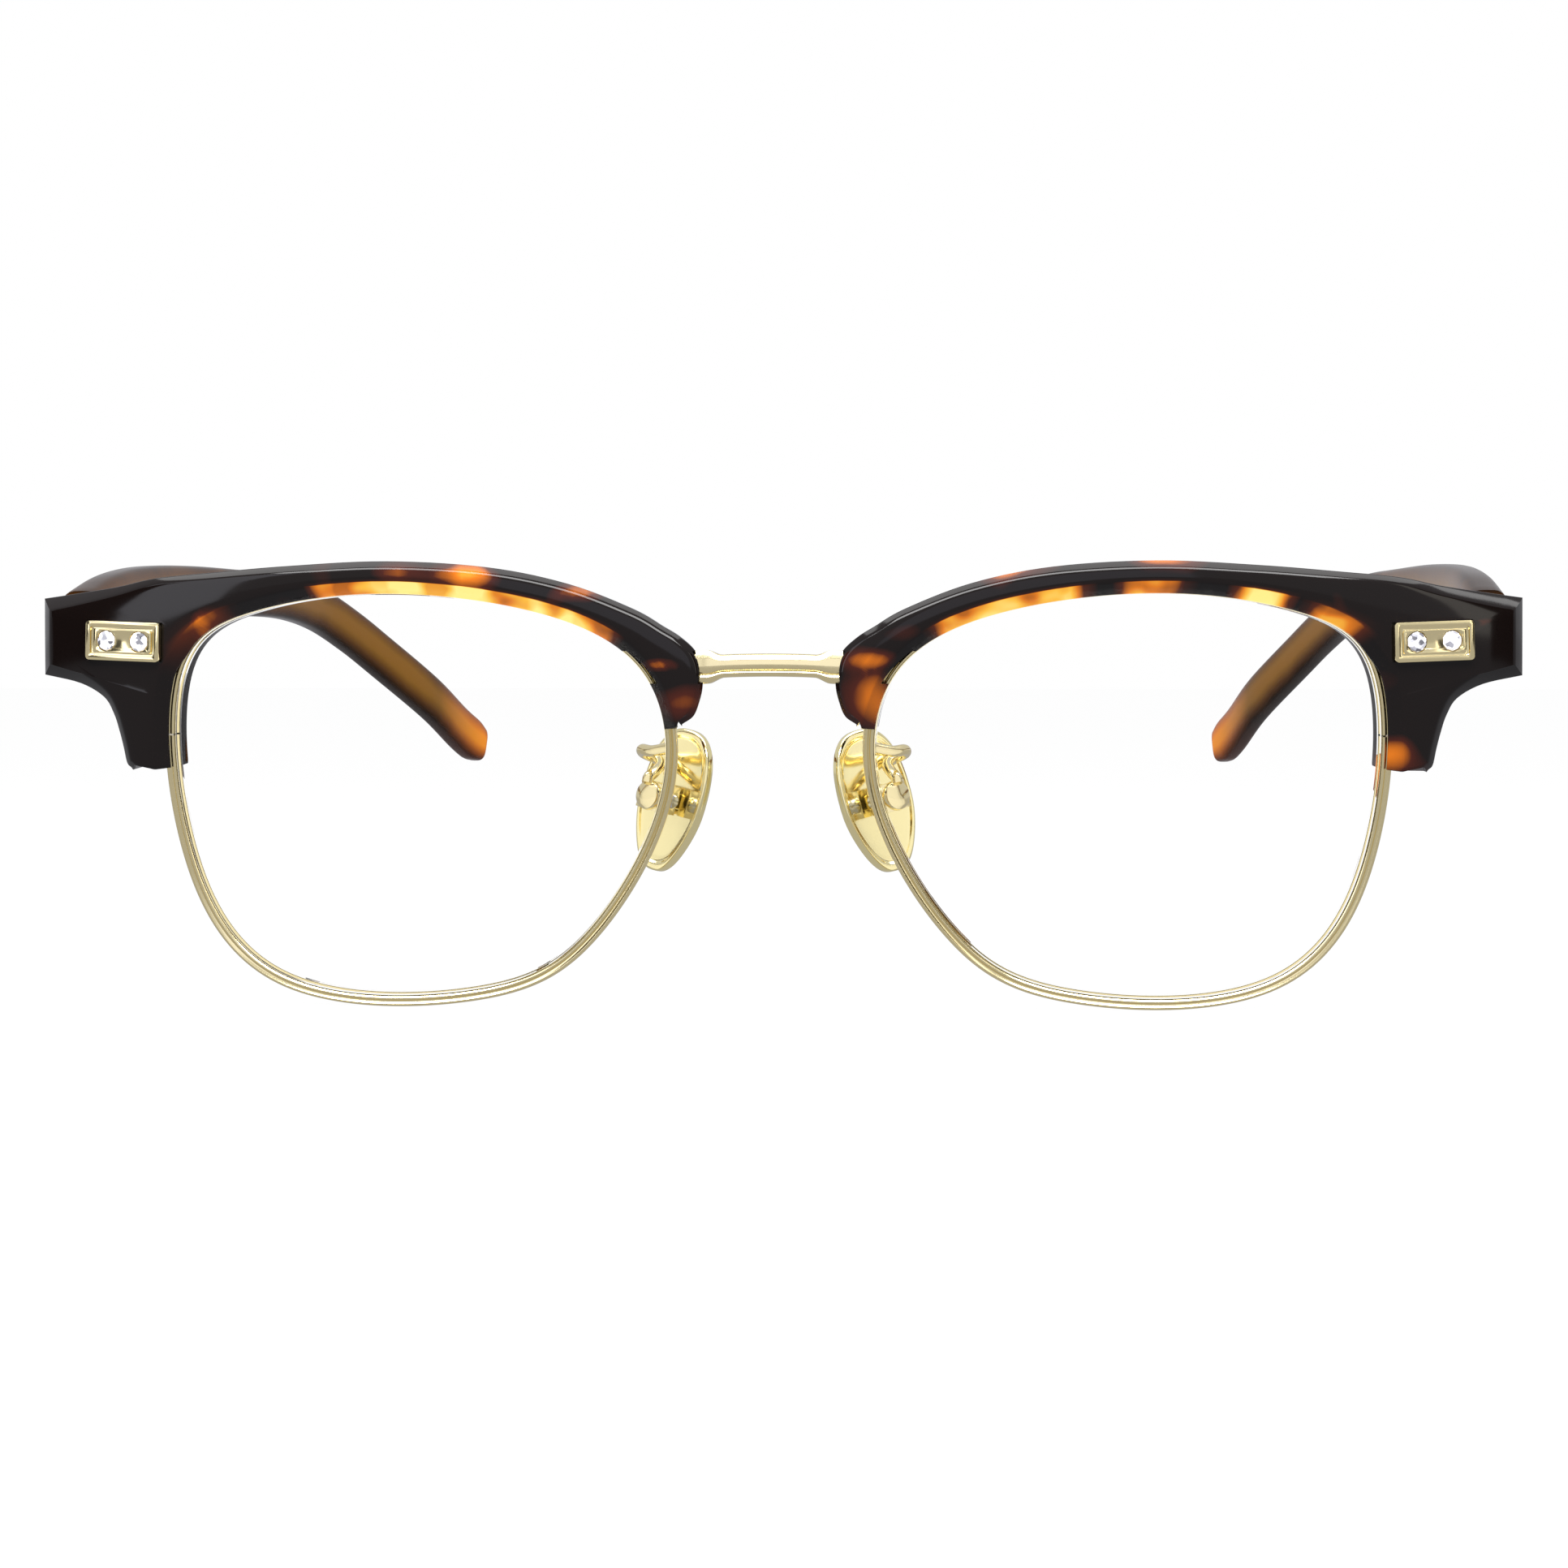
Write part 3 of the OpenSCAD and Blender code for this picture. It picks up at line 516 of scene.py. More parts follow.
    def finish(self, side: Side, seat: Vector, finish: "Finish", crease: float) -> bpy.types.Object:
        """Brings the mesh to its place and lets it stand in for the node of its name.

        Args:
            side: RIGHT mirrors it.
            seat: shift of the whole model in millimetres.
            finish: surface finish.
            crease: edges sharper than this angle stay sharp, degrees.

        Returns:
            The finished piece.
        """
        flip = Matrix.Diagonal((side.value, 1, 1, 1))
        place = flip @ Matrix.Scale(0.001, 4) @ Matrix.Translation(seat)
        bmesh.ops.recalc_face_normals(self.bm, faces=self.bm.faces)
        bmesh.ops.transform(self.bm, matrix=place, verts=self.bm.verts)
        # the mirror turns a mesh inside out, and recalculation did so to one small part
        if self.bm.calc_volume(signed=True) < 0:
            bmesh.ops.reverse_faces(self.bm, faces=self.bm.faces)
        for face in self.bm.faces:
            face.smooth = True
        for edge in self.bm.edges:
            edge.smooth = len(edge.link_faces) == 2 and edge.calc_face_angle(0) < math.radians(crease)
        made = link_mesh(f"fine_{self.name}", self.bm)
        made.data.materials.append(finish.material())
        node = self.name
        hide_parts(node)
        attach(made, body_of(node))
        log.info("%s: %d faces, %s", self.name, len(made.data.polygons), finish.name)
        return made


@dataclass(frozen=True)
class Finish:
    """A surface finish; a subclass fills the node tree once and every piece shares it."""

    name: str
    slot: str

    def material(self) -> bpy.types.Material:
        """Finds the material, or makes it on first use.

        Returns:
            The material.
        """
        found = bpy.data.materials.get(self.name)
        if found:
            return found
        made = blank_material(self.name)
        shader = self.shade(made.node_tree)
        add_node(made.node_tree, "ShaderNodeOutputMaterial", values={"Surface": shader})
        return made

    def shade(self, tree: bpy.types.NodeTree) -> bpy.types.NodeSocket:
        """Builds the shader and returns its socket."""
        raise NotImplementedError

    @staticmethod
    def place(tree: bpy.types.NodeTree) -> bpy.types.NodeSocket:
        """Object coordinates in metres."""
        return add_node(tree, "ShaderNodeTexCoord").outputs["Object"]


@dataclass(frozen=True)
class TumbledTortoiseshell(Finish):
    """Block-cut tortoiseshell acetate, tumbled to a gloss: near black, amber clouds, lit thin edges."""

    dark: str = "#0d0807"
    cloud: str = "#38130a"
    amber: str = "#b8610f"
    cloud_mm: float = 8.0
    edge_light: float = 1.0

    def shade(self, tree: bpy.types.NodeTree) -> bpy.types.NodeSocket:
        """Clouds lie where their marks put them, and a mark on the thin edges gives them light.

        Args:
            tree: node tree that receives it.

        Returns:
            The shader's socket.
        """
        place = self.place(tree)
        noise = add_node(tree, "ShaderNodeTexNoise", values={
            "Vector": place, "Scale": 1000 / self.cloud_mm, "Detail": 1.0, "Roughness": 0.4,
            "Distortion": 0.3}).outputs["Fac"]
        put = add_node(tree, "ShaderNodeAttribute", {"attribute_name": "cloud"}).outputs["Fac"]
        drift = add_node(tree, "ShaderNodeMapRange", values={
            "Value": noise, "From Min": 0.35, "From Max": 0.7,
            "To Min": -0.25, "To Max": 0.35}).outputs["Result"]
        both = add_node(tree, "ShaderNodeMath", {"operation": "ADD"}, {0: put, 1: drift}).outputs[0]
        body = add_ramp(tree, both, [(0.2, self.dark), (0.42, self.cloud), (0.75, self.amber),
                                     (1.0, "#ffb040")])
        mark = add_node(tree, "ShaderNodeAttribute", {"attribute_name": "glow"}).outputs["Fac"]
        streak = add_node(tree, "ShaderNodeTexNoise", values={
            "Vector": place, "Scale": 260.0, "Detail": 1.0}).outputs["Fac"]
        shimmer = add_node(tree, "ShaderNodeMapRange", values={
            "Value": streak, "From Min": 0.35, "From Max": 0.6,
            "To Min": 0.45, "To Max": 1.05}).outputs["Result"]
        lit = add_node(tree, "ShaderNodeMath", {"operation": "MULTIPLY"}, {0: mark, 1: shimmer}).outputs[0]
        glow = add_ramp(tree, lit, [(0.0, "#000000"), (0.2, "#4a1a04"), (0.45, "#e07a12"), (0.7, "#ffc040"),
                                    (1.0, "#fff08c")])
        return add_node(tree, "ShaderNodeBsdfPrincipled", values={
            "Base Color": body, "Roughness": 0.07, "IOR": 1.49, "Specular IOR Level": 0.3,
            "Emission Color": glow, "Emission Strength": self.edge_light}).outputs["BSDF"]


@dataclass(frozen=True)
class WireCoredAcetate(Finish):
    """Tortoiseshell acetate drawn over a wire and tumbled: amber brown, clearer toward the ear."""

    def shade(self, tree: bpy.types.NodeTree) -> bpy.types.NodeSocket:
        """Darkens toward the upper and lower edge and warms toward the tip, as the clear section does; the
        colour also glows faintly, which is painted light.

        Args:
            tree: node tree that receives it.

        Returns:
            The shader's socket.
        """
        place = self.place(tree)
        noise = add_node(tree, "ShaderNodeTexNoise", values={
            "Vector": place, "Scale": 70.0, "Detail": 3.0, "Distortion": 1.2}).outputs["Fac"]
        core = add_node(tree, "ShaderNodeAttribute", {"attribute_name": "glow"}).outputs["Fac"]
        mix = add_node(tree, "ShaderNodeMath", {"operation": "MULTIPLY_ADD"},
                       {0: noise, 1: 0.35, 2: core}).outputs[0]
        body = add_ramp(tree, mix, [(0.2, "#1c0e04"), (0.5, "#43270a"), (0.85, "#60400c"), (1.0, "#6c4812")])
        ear = add_ramp(tree, mix, [(0.2, "#431a04"), (0.5, "#88440a"), (0.85, "#bc680c"), (1.0, "#ca7812")])
        along = add_node(tree, "ShaderNodeSeparateXYZ", values={0: place}).outputs["Y"]
        tip = add_node(tree, "ShaderNodeMapRange", values={
            "Value": along, "From Min": 0.058, "From Max": 0.072}).outputs["Result"]
        warm = add_node(tree, "ShaderNodeMix", {"data_type": "RGBA"},
                        {"Factor": tip, 6: body, 7: ear}).outputs[2]
        # painted light: the acetate's colour is also emitted at 0.2 strength
        return add_node(tree, "ShaderNodeBsdfPrincipled", values={
            "Base Color": warm, "Roughness": 0.16, "IOR": 1.49, "Specular IOR Level": 0.06,
            "Emission Color": warm, "Emission Strength": 0.2}).outputs["BSDF"]


@dataclass(frozen=True)
class PlatedMetal(Finish):
    """Plated metal, polished on a wheel: pale, with a faint change of gloss from handling."""

    tone: str = "#f6e6b4"
    gloss: Pair = (0.12, 0.2)

    def shade(self, tree: bpy.types.NodeTree) -> bpy.types.NodeSocket:
        """Drifts the roughness over a few millimetres, so long highlights are not quite even.

        Args:
            tree: node tree that receives it.

        Returns:
            The shader's socket.
        """
        noise = add_node(tree, "ShaderNodeTexNoise", values={
            "Vector": self.place(tree), "Scale": 350.0, "Detail": 2.0}).outputs["Fac"]
        rough = add_node(tree, "ShaderNodeMapRange", values={
            "Value": noise, "To Min": self.gloss[0], "To Max": self.gloss[1]}).outputs["Result"]
        return add_node(tree, "ShaderNodeBsdfPrincipled", values={
            "Base Color": hex_to_linear(self.tone), "Metallic": 1.0, "Roughness": rough}).outputs["BSDF"]


@dataclass(frozen=True)
class CastClear(Finish):
    """Clear cast material, polished on all faces: only its edges and reflections show."""

    tone: str = "#ffffff"
    ior: float = 1.45

    def shade(self, tree: bpy.types.NodeTree) -> bpy.types.NodeSocket:
        """Full transmission without roughness."""
        return add_node(tree, "ShaderNodeBsdfPrincipled", values={
            "Base Color": hex_to_linear(self.tone), "Roughness": 0.0, "IOR": self.ior,
            "Transmission Weight": 1.0}).outputs["BSDF"]


@dataclass(frozen=True)
class FoiledStone(Finish):
    """Glass stone, cut and set over bright foil: one facet flashes white while the next goes dark."""

    facet_mm: float = 0.4

    def shade(self, tree: bpy.types.NodeTree) -> bpy.types.NodeSocket:
        """Gives cells of a facet's size the light and dark that real facets mirror from the foil.

        Args:
            tree: node tree that receives it.

        Returns:
            The shader's socket.
        """
        cell = add_node(tree, "ShaderNodeTexVoronoi", values={
            "Vector": self.place(tree), "Scale": 1000 / self.facet_mm}).outputs["Color"]
        flash = add_node(tree, "ShaderNodeSeparateColor", values={0: cell}).outputs[0]
        tone = add_ramp(tree, flash, [(0.0, "#4a4a50"), (0.2, "#a4a4ac"), (0.36, "#ececf2"),
                                      (1.0, "#f4f4f8")])
        # painted reflections: the light and dark cell tones are base colour and also glow faintly at 0.18
        # strength
        return add_node(tree, "ShaderNodeBsdfPrincipled", values={
            "Base Color": tone, "Roughness": 0.04, "IOR": 1.54,
            "Emission Color": tone, "Emission Strength": 0.18}).outputs["BSDF"]


BROW = TumbledTortoiseshell("tumbled tortoiseshell acetate", "brow_shell")
TEMPLE = WireCoredAcetate("wire-cored tortoiseshell acetate", "temple_shell")
GOLD = PlatedMetal("pale gold plate, wheel-polished", "gold")
PAD_GOLD = PlatedMetal("gold plate, mirror-polished", "pad_gold", "#fff1b8", (0.08, 0.14))
STEEL = PlatedMetal("turned screw steel", "silver", "#c9c9cd", (0.14, 0.24))
# the index is below that of a real lens, which turned the edges grey in this light
LENS = CastClear("clear cast lens", "lens", ior=1.08)
STONE = FoiledStone("cut stone over bright foil", "stone")


@dataclass
class Brow:
    """One moulded brow: a section lofted between the outline and the lens curve, then carved."""

    form: FrontForm
    side: Side
    lit: Tuple[Triple, ...]
    clouds: Tuple[Cloud, ...]
    leg_steps: int = 5
    top_steps: int = 7
    wire_shown: float = 0.5
    end_reach: float = 0.35
    end_rounding: Tuple[Pair, ...] = ((0.3, 1.0), (0.1, 0.8))

    def outline(self) -> List[Vector]:
        """Runs the outline from the foot of the leg around the outer end to the nose limb.

        Returns:
            Its points, in the plane of the front.
        """
        f = self.form
        outer = f.lens_cx + f.lens_w / 2
        rise = f.brow_band + 0.3
        leg = [(outer + f.end_len * a, f.end_top - f.end_h - f.leg_drop * b) for a, b in f.leg_form]
        top = [(outer + f.end_len * a, f.end_top + rise * b) for a, b in f.top_form]
        top += [(f.lens_cx + f.lens_w / 2 * a, f.end_top + rise * b) for a, b in f.mid_form]
        top += [(f.bridge_gap / 2 * a, f.lens_top - f.nose_drop * b) for a, b in f.nose_form]
        leg, top = through(leg, self.leg_steps), through(top, self.top_steps)
        low, high = leg[-1], top[0]
        room = f.end_bevel * 1.25
        leg = [q for q in leg[:-1] if (q - low).length > room] + [low]
        top = [high] + [q for q in top[1:] if (q - high).length > room]
        return leg + [low.lerp(high, a) for a in (0.24, 0.42, 0.58, 0.76)] + top

    def light(self, x: float) -> float:
        """How much light the lens edge passes at a place along the brow."""
        return max([s * ease(min(x - a, b - x) / 2.5 + 0.5) for a, b, s in self.lit] + [0.0])

    def section(self, line: Sequence[Vector], i: int, e: float, shift: Vector) -> Tuple[Ring, List[float]]:
        """One cross-section.

        Args:
            line: outline.
            i: station on it.
            e: how far the section draws in at the two ends.
            shift: how far it moves along the lens curve.

        Returns:
            Its points and their marks for light.
        """
        f, n = self.form, len(line) - 1
        way = [unit(line[min(k + 1, n)] - line[min(k, n - 1)]) for k in (max(i - 1, 0), i)]
        s = way[0] + way[1]
        m = Vector((-s[1], s[0])) / (1 + way[0].dot(way[1]))
        t = f.nearest(line[i])
        lip, out = f.lens_off(t, f.fit) + shift, f.lens_out(t)
        g, back = f.rim_w - f.fit + 0.08, f.rim_d + f.rim_t + f.fit
        b = f.top_bevel + (f.end_bevel - f.top_bevel) * ease(
            (line[i][0] - f.lens_cx - f.lens_w / 2) / f.end_len)
        k = f.widen(line[i], b) + shift
        leg = ease((14 - lip[1]) / 3) if lip[0] > f.lens_cx else 0.0
        edge = lip + out * self.wire_shown * leg
        p, q = k + m * (b + e), edge + out * (f.lens_chamfer + e / 2)
        glow = self.light(lip[0])
        rows = [(k + m * (0.4 + e), f.brow_t - e, 0.15, 0), (k + m * e, f.brow_t - 0.4 - e, 0.15, 0),
                (k + m * e, b + e, 0.12, 0), (p, 0.12 + e, 0.28, 0)]
        rows += [(p.lerp(q, a), d + e, 0, w * glow) for a, d, w in
                 ((0.1, 0.05, 0), (0.25, 0, 0), (0.5, 0, 0), (0.75, 0, 0), (0.9, 0.03, 0.12))]
        rows += [(q, 0.1 + e, 0.15, 0.9 * glow), (edge, 1.3, 0.1, glow), (edge, f.rim_d - f.fit, 0, glow),
                 (lip + out * g, f.rim_d - f.fit, 0, 0), (lip + out * g, back, 0, 0), (lip, back, 0, 0),
                 (lip, f.brow_t - 0.3 - e / 2, 0.1, 0), (lip + out * (0.3 + e), f.brow_t - e, 0.1, 0)]
        rows += [((lip + out * (0.3 + e)).lerp(k + m * (0.4 + e), a), f.brow_t - e, 0, 0)
                 for a in (0.25, 0.5, 0.75)]
        ring = soften([f.bend(row[0], row[1]) for row in rows], [row[2] for row in rows])
        marks = [row[3] for row in rows for _ in range(4 if row[2] else 1)]
        return ring, marks

    def tools(self) -> Shell:
        """Builds what the butt, plaque, bracket, hinge, block and bridge take from the brow.

        Returns:
            One mesh of all the volumes.
        """
        f = self.form
        cut = Shell("brow tools")
        world = Matrix.Identity(4)
        cut.box(world, (f.hinge[0] - 3, f.butt_y, f.end_top - 15),
                (f.front_w / 2 + 4, f.butt_y + 6, f.end_top + 9))
        seat = f.local(f.plaque_at, 0, Vector((1, 0))) @ Matrix.Rotation(math.radians(f.plaque_turn), 4, "Y")
        wide, high, sunk = 4.1, 1.95, 0.45
        cut.box(seat, (-wide, -2, -high), (wide, sunk, high))
        plate = f.local(Vector((f.hinge[0] - 0.65, f.hinge[2])), f.brow_t, Vector((1, 0)))
        wide, high = 1.85, 2.55
        cut.box(plate, (-wide, 0, -high), (wide, 2, high))
        bracket_half = 1.85
        for depth, far, steps in ((f.brow_t - 1.4, f.hinge[0] + 1.7, 8),
                                  (f.rim_d + 0.45, f.plaque_at[0] - 3.5, 2)):
            rings = []
            for i in range(steps + 1):
                ring = []
                for c, d in ((-1, depth), (1, depth), (1, f.brow_t + 2), (-1, f.brow_t + 2)):
                    z = f.plaque_at[1] + c * bracket_half
                    t = f.nearest(Vector((f.plaque_at[0] - 2.5, z)), 0)
                    ring.append(f.bend(f.lens_off(t, f.rim_w - 0.02).lerp(Vector((far, z)), i / steps), d))
                rings.append(ring)
            cut.loft(rings)
        pocket = f.local(f.lens_off(f.split, f.rim_w + 1), f.rim_d + 1, f.lens_out(f.split))
        cut.box(pocket, (-1.3, -1, -6), (1.2, 4, 2.1))
        near = f.bridge_gap / 2
        cut.box(world, (near - 5.5, 1.255, f.bridge_z - 1.65), (near + 4, 7.25, f.bridge_z + 1.45))
        cut.box(world, (near - 2.55, 2.8, f.bridge_z - 3.1), (near + 0.35, 6.8, f.bridge_z - 1.1))
        tab = Matrix.Translation((near - 1.1, 5.35, f.bridge_z - 3.1)) @ Matrix.Rotation(math.pi / 2, 4, "Z")
        cut.rod(tab, 1.45, 3.0)
        return cut

    def build(self) -> None:
        """Lofts, carves and dresses the brow."""
        line = self.outline()
        last = len(line) - 1
        foot, limb = (self.form.lens_way(self.form.nearest(line[i])) * self.end_reach for i in (0, last))
        still = Vector((0, 0))
        sections = [self.section(line, 0, e, foot * k) for e, k in self.end_rounding]
        sections += [self.section(line, i, 0, still) for i in range(last + 1)]
        sections += [self.section(line, last, e, -limb * k) for e, k in reversed(self.end_rounding)]
        shell = Shell(self.side.node("brow"))
        shell.loft([s[0] for s in sections], glow=[s[1] for s in sections])
        shell.cut_by(self.tools())
        for v in shell.bm.verts:
            v[shell.cloud] = max([s * math.exp(-((v.co[0] - x) / a) ** 2 - ((v.co[2] - z) / b) ** 2)
                                  for x, z, a, b, s in self.clouds])
        shell.finish(self.side, self.form.seat, BROW, 32.0)


@dataclass
class Eyewire:
    """Drawn gold wire around the lens, with a fluted face and a groove for the lens edge."""

    form: FrontForm
    side: Side
    steps: int = 220
    slit: float = 0.01

    def build(self) -> None:
        """Lofts the wire section along the lens curve, open at the closing block."""
        f = self.form
        w, t = f.rim_w, f.rim_t
        face = [(0, 0.45), (0.1, 0.16), (0.27, 0), (0.42, 0.06), (0.58, 0.27), (0.7, 0.2), (0.86, 0.03),
                (1.08, 0.12), (w, 0.5), (w, t - 0.4), (w - 0.35, t), (0.25, t), (0, t - 0.4),
                (0.5, t / 2 + 0.02)]
        radii = [0.1, 0, 0.06, 0, 0.04, 0, 0.06, 0, 0.1, 0.1, 0.1, 0.1, 0.1, 0.05]
        rings = []
        for i in range(self.steps + 1):
            at = f.split + self.slit / 2 + i * (10 - self.slit) / self.steps
            rings.append(soften([f.bend(f.lens_off(at, a), f.rim_d + b) for a, b in face], radii))
        shell = Shell(self.side.node("eyewire"))
        shell.loft(rings)
        shell.finish(self.side, f.seat, GOLD, 50.0)


@dataclass
class Lens:
    """Clear lens on the same sphere as the front, its edge bevelled into the eyewire."""

    form: FrontForm
    side: Side
    steps: int = 160

    def build(self) -> None:
        """Lofts from the middle of the back over the edge to the middle of the front."""
        f = self.form
        mid = Vector((f.lens_cx, 0))
        vee = f.rim_d + f.rim_t / 2 + 0.02
        around = [f.split + 10 * i / self.steps for i in range(self.steps)]
        inner = (0.02, 0.15, 0.3, 0.45, 0.6, 0.75, 0.9)
        rings = [[f.bend(mid.lerp(f.lens_at(t), a), vee - 0.7) for t in around] for a in inner]
        for off, depth in ((-0.03, -0.7), (-0.01, -0.68), (-0.01, -0.3), (0.33, -0.02), (0.33, 0.02),
                           (-0.01, 0.3), (-0.01, 0.66), (-0.03, 0.68)):
            rings.append([f.bend(f.lens_off(t, off), vee + depth) for t in around])
        rings += [[f.bend(mid.lerp(f.lens_at(t), a), vee + 0.68) for t in around] for a in reversed(inner)]
        shell = Shell(self.side.node("lens"))
        shell.loft(rings)
        shell.finish(self.side, f.seat, LENS, 20.0)


def sweep(shell: Shell, path: Sequence[Vector], forms: Sequence[Sequence[Pair]], up: Vector) -> None:
    """Lofts a section along a path without twist.

    Args:
        shell: mesh that receives it.
        path: points of the path.
        forms: one section per point, as pairs to the side and upward.
        up: upward direction at the start.
    """
    n = len(path) - 1
    rings = []
    for i, point in enumerate(path):
        way = unit(path[min(i + 1, n)] - path[max(i - 1, 0)])
        up = unit(up - way * up.dot(way))
        side = way.cross(up)
        rings.append([point + side * a + up * b for a, b in forms[i]])
    shell.loft(rings)


@dataclass
class Temple:
    """Folding temple: rises behind the hinge, runs straight and drops behind the ear."""

    form: FrontForm
    side: Side
    length: float = 145.0
    hinge_h: float = 7.3
    shaft_h: float = 5.0
    ear_t: float = 2.6
    ear_inset: float = 21.8
    ear_drop: float = 18.3
    rise: float = 4.3
    reach: float = 0.917
    side_gap: float = 1.1
    butt_gap: float = 0.3
    steps: int = 8
    tip_rounding: Tuple[Pair, ...] = ((0.985, 0.25), (0.93, 0.5), (0.84, 0.7), (0.74, 0.82), (0.5, 0.85))
    keys: Tuple[Tuple[float, float, float, float], ...] = (
        (0, 0, 0.06, 0), (0.085, 0.014, 0.5, 0), (0.19, 0.042, 0.79, 0), (0.34, 0.108, 0.97, 0),
        (0.5, 0.212, 1, 0), (0.6, 0.3, 1, 0.018), (0.68, 0.39, 1, 0.09), (0.745, 0.505, 1, 0.23),
        (0.8, 0.62, 1, 0.39), (0.89, 0.82, 1, 0.675), (0.96, 0.93, 1, 0.89), (1, 1, 1, 1))

    def build(self) -> None:
        """Lofts the temple and carves the room of the hinge."""
        f = self.form
        x0, y0 = f.front_w / 2 - self.side_gap - f.temple_t / 2, f.butt_y + self.butt_gap
        y1 = f.hinge[1] + self.reach * self.length
        path = [(Vector((x0 - self.ear_inset * k[1], y0 + (y1 - y0) * k[0],
                         f.end_top - 3.15 + self.rise * k[2] - self.ear_drop * k[3])), k[0])
                for k in through(self.keys, self.steps)]
        last = len(path) - 1
        around = oval(44, 0.55)
        stops = [(i, 1.0, 0.0) for i in range(last + 1)]
        stops += [(last, grow, ahead) for grow, ahead in self.tip_rounding]
        rings, marks = [], []
        for i, grow, ahead in stops:
            marks.append([1 - abs(b) ** 1.2 for _, b in around])
            c, s = path[i]
            step = Vector((0, 1, 0)) if i == 0 else unit(path[min(i + 1, last)][0] - path[max(i - 1, 0)][0])
            side = unit(Vector((step[1], -step[0], 0)))
            up = side.cross(step)
            tip = math.sqrt(1 - 0.3 * max(0.0, 1 - (1 - s) * self.length / 2.8) ** 2)
            t = self.ear_t + (f.temple_t - self.ear_t) * (1 - s) ** 4
            h = self.shaft_h + (self.hinge_h - self.shaft_h) * (1 - ease(s / 0.55)) + 0.3 * s * s
            rings.append([c + step * ahead + side * a * t / 2 * grow + up * b * h / 2 * grow * tip
                          for a, b in around])
        shell = Shell(self.side.node("temple"))
        shell.loft(rings, glow=marks)
        room = Shell("temple tools")
        world = Matrix.Identity(4)
        inner = x0 - f.temple_t / 2
        room.rod(Matrix.Translation(f.hinge) @ Matrix.Rotation(math.pi / 2, 4, "Y"), 1.55, 22.0)
        room.box(world, (inner - 2, y0 + 2.55, f.hinge[2] - 1.95),
                 (inner + 0.28, y0 + 12.95, f.hinge[2] + 1.95))
        room.box(world, (inner - 2, y0 - 1, f.hinge[2] - 1), (inner + 0.3, y0 + 3, f.hinge[2] + 1))
        shell.cut_by(room)
        shell.finish(self.side, f.seat, TEMPLE, 40.0)


@dataclass
class Bridge:
    """Bar bridge with a broad upper face, a line under it and a lower lip; its ends flare to the eyewires."""

    form: FrontForm
    high: float = 2.2
    deep: float = 1.75

    def section(self, grow: float) -> List[Pair]:
        """Section of the bar as pairs to the front and upward."""
        d, h = self.deep / 2, self.high / 2 * grow
        return [(-d + 0.3, h), (-d, h - 0.3), (-d, -h + 0.3), (-d + 0.3, -h), (d - 0.5, -h),
                (d - 0.2, -h + 0.12), (d - 0.12, -h * 0.62), (d - 0.2, -h * 0.5), (d - 0.3, -h * 0.44),
                (d - 0.16, -h * 0.38), (d - 0.02, -h * 0.28), (d, 0.1), (d - 0.04, h * 0.5),
                (d - 0.2, h * 0.86), (d - 0.45, h)]

    def build(self) -> None:
        """Sweeps the bar and adds the two tabs that hold the brow screws."""
        f = self.form
        z, y = f.bridge_z, 2.25
        t0 = f.at_height(z, -2.6, -1.2)
        foot = f.bend(f.lens_off(t0, f.rim_w), f.rim_d + f.rim_t / 2)
        half = [(0, y, z + 0.12), (3.2, y + 0.05, z + 0.07), (5.6, y + 0.15, z - 0.05),
                (7.2, y + 0.25, z - 0.1), (foot[0] + 0.7, foot[1], z - 0.1)]
        path = through([(-a, b, c) for a, b, c in reversed(half[1:])] + half, 8)
        forms = []
        for p in path:
            grow = 1 + 0.45 * ease((abs(p[0]) - 4.4) / 1.5)
            ring = soften([Vector((a, b, 0)) for a, b in self.section(grow)], [0.12] * 5 + [0.05] * 10)
            forms.append([(v[0], v[1]) for v in ring])
        shell = Shell("bridge")
        sweep(shell, path, forms, Vector((0, 0, 1)))
        seats = Shell("wire seats")
        corners = ((-3, -1), (f.rim_w + 0.02, -1), (f.rim_w + 0.02, f.rim_t + 1), (-3, f.rim_t + 1))
        for s in (1, -1):
            rings = [[f.bend(f.lens_off(t0 + i * 0.05, a), f.rim_d + b) for a, b in corners]
                     for i in range(-9, 10)]
            seats.loft([[Vector((s * v[0], v[1], v[2])) for v in ring] for ring in rings])
        shell.cut_by(seats)
        for s in (-1, 1):
            tab = Matrix.Translation((s * (f.bridge_gap / 2 - 1.1), 0, z - 3.1))
            shell.box(tab, (-0.9, 2.9, 0.9), (0.9, 4.7, 2.5), 0.1)
            shell.box(tab, (-0.9, 4.12, 0), (0.9, 4.7, 2.0), 0.1)
            shell.rod(tab @ Matrix.Translation((0, 4.41, 0)) @ Matrix.Rotation(math.pi / 2, 4, "Z"),
                      1.3, 0.58, 0.1)
        shell.finish(Side.LEFT, f.seat, GOLD, 40.0)


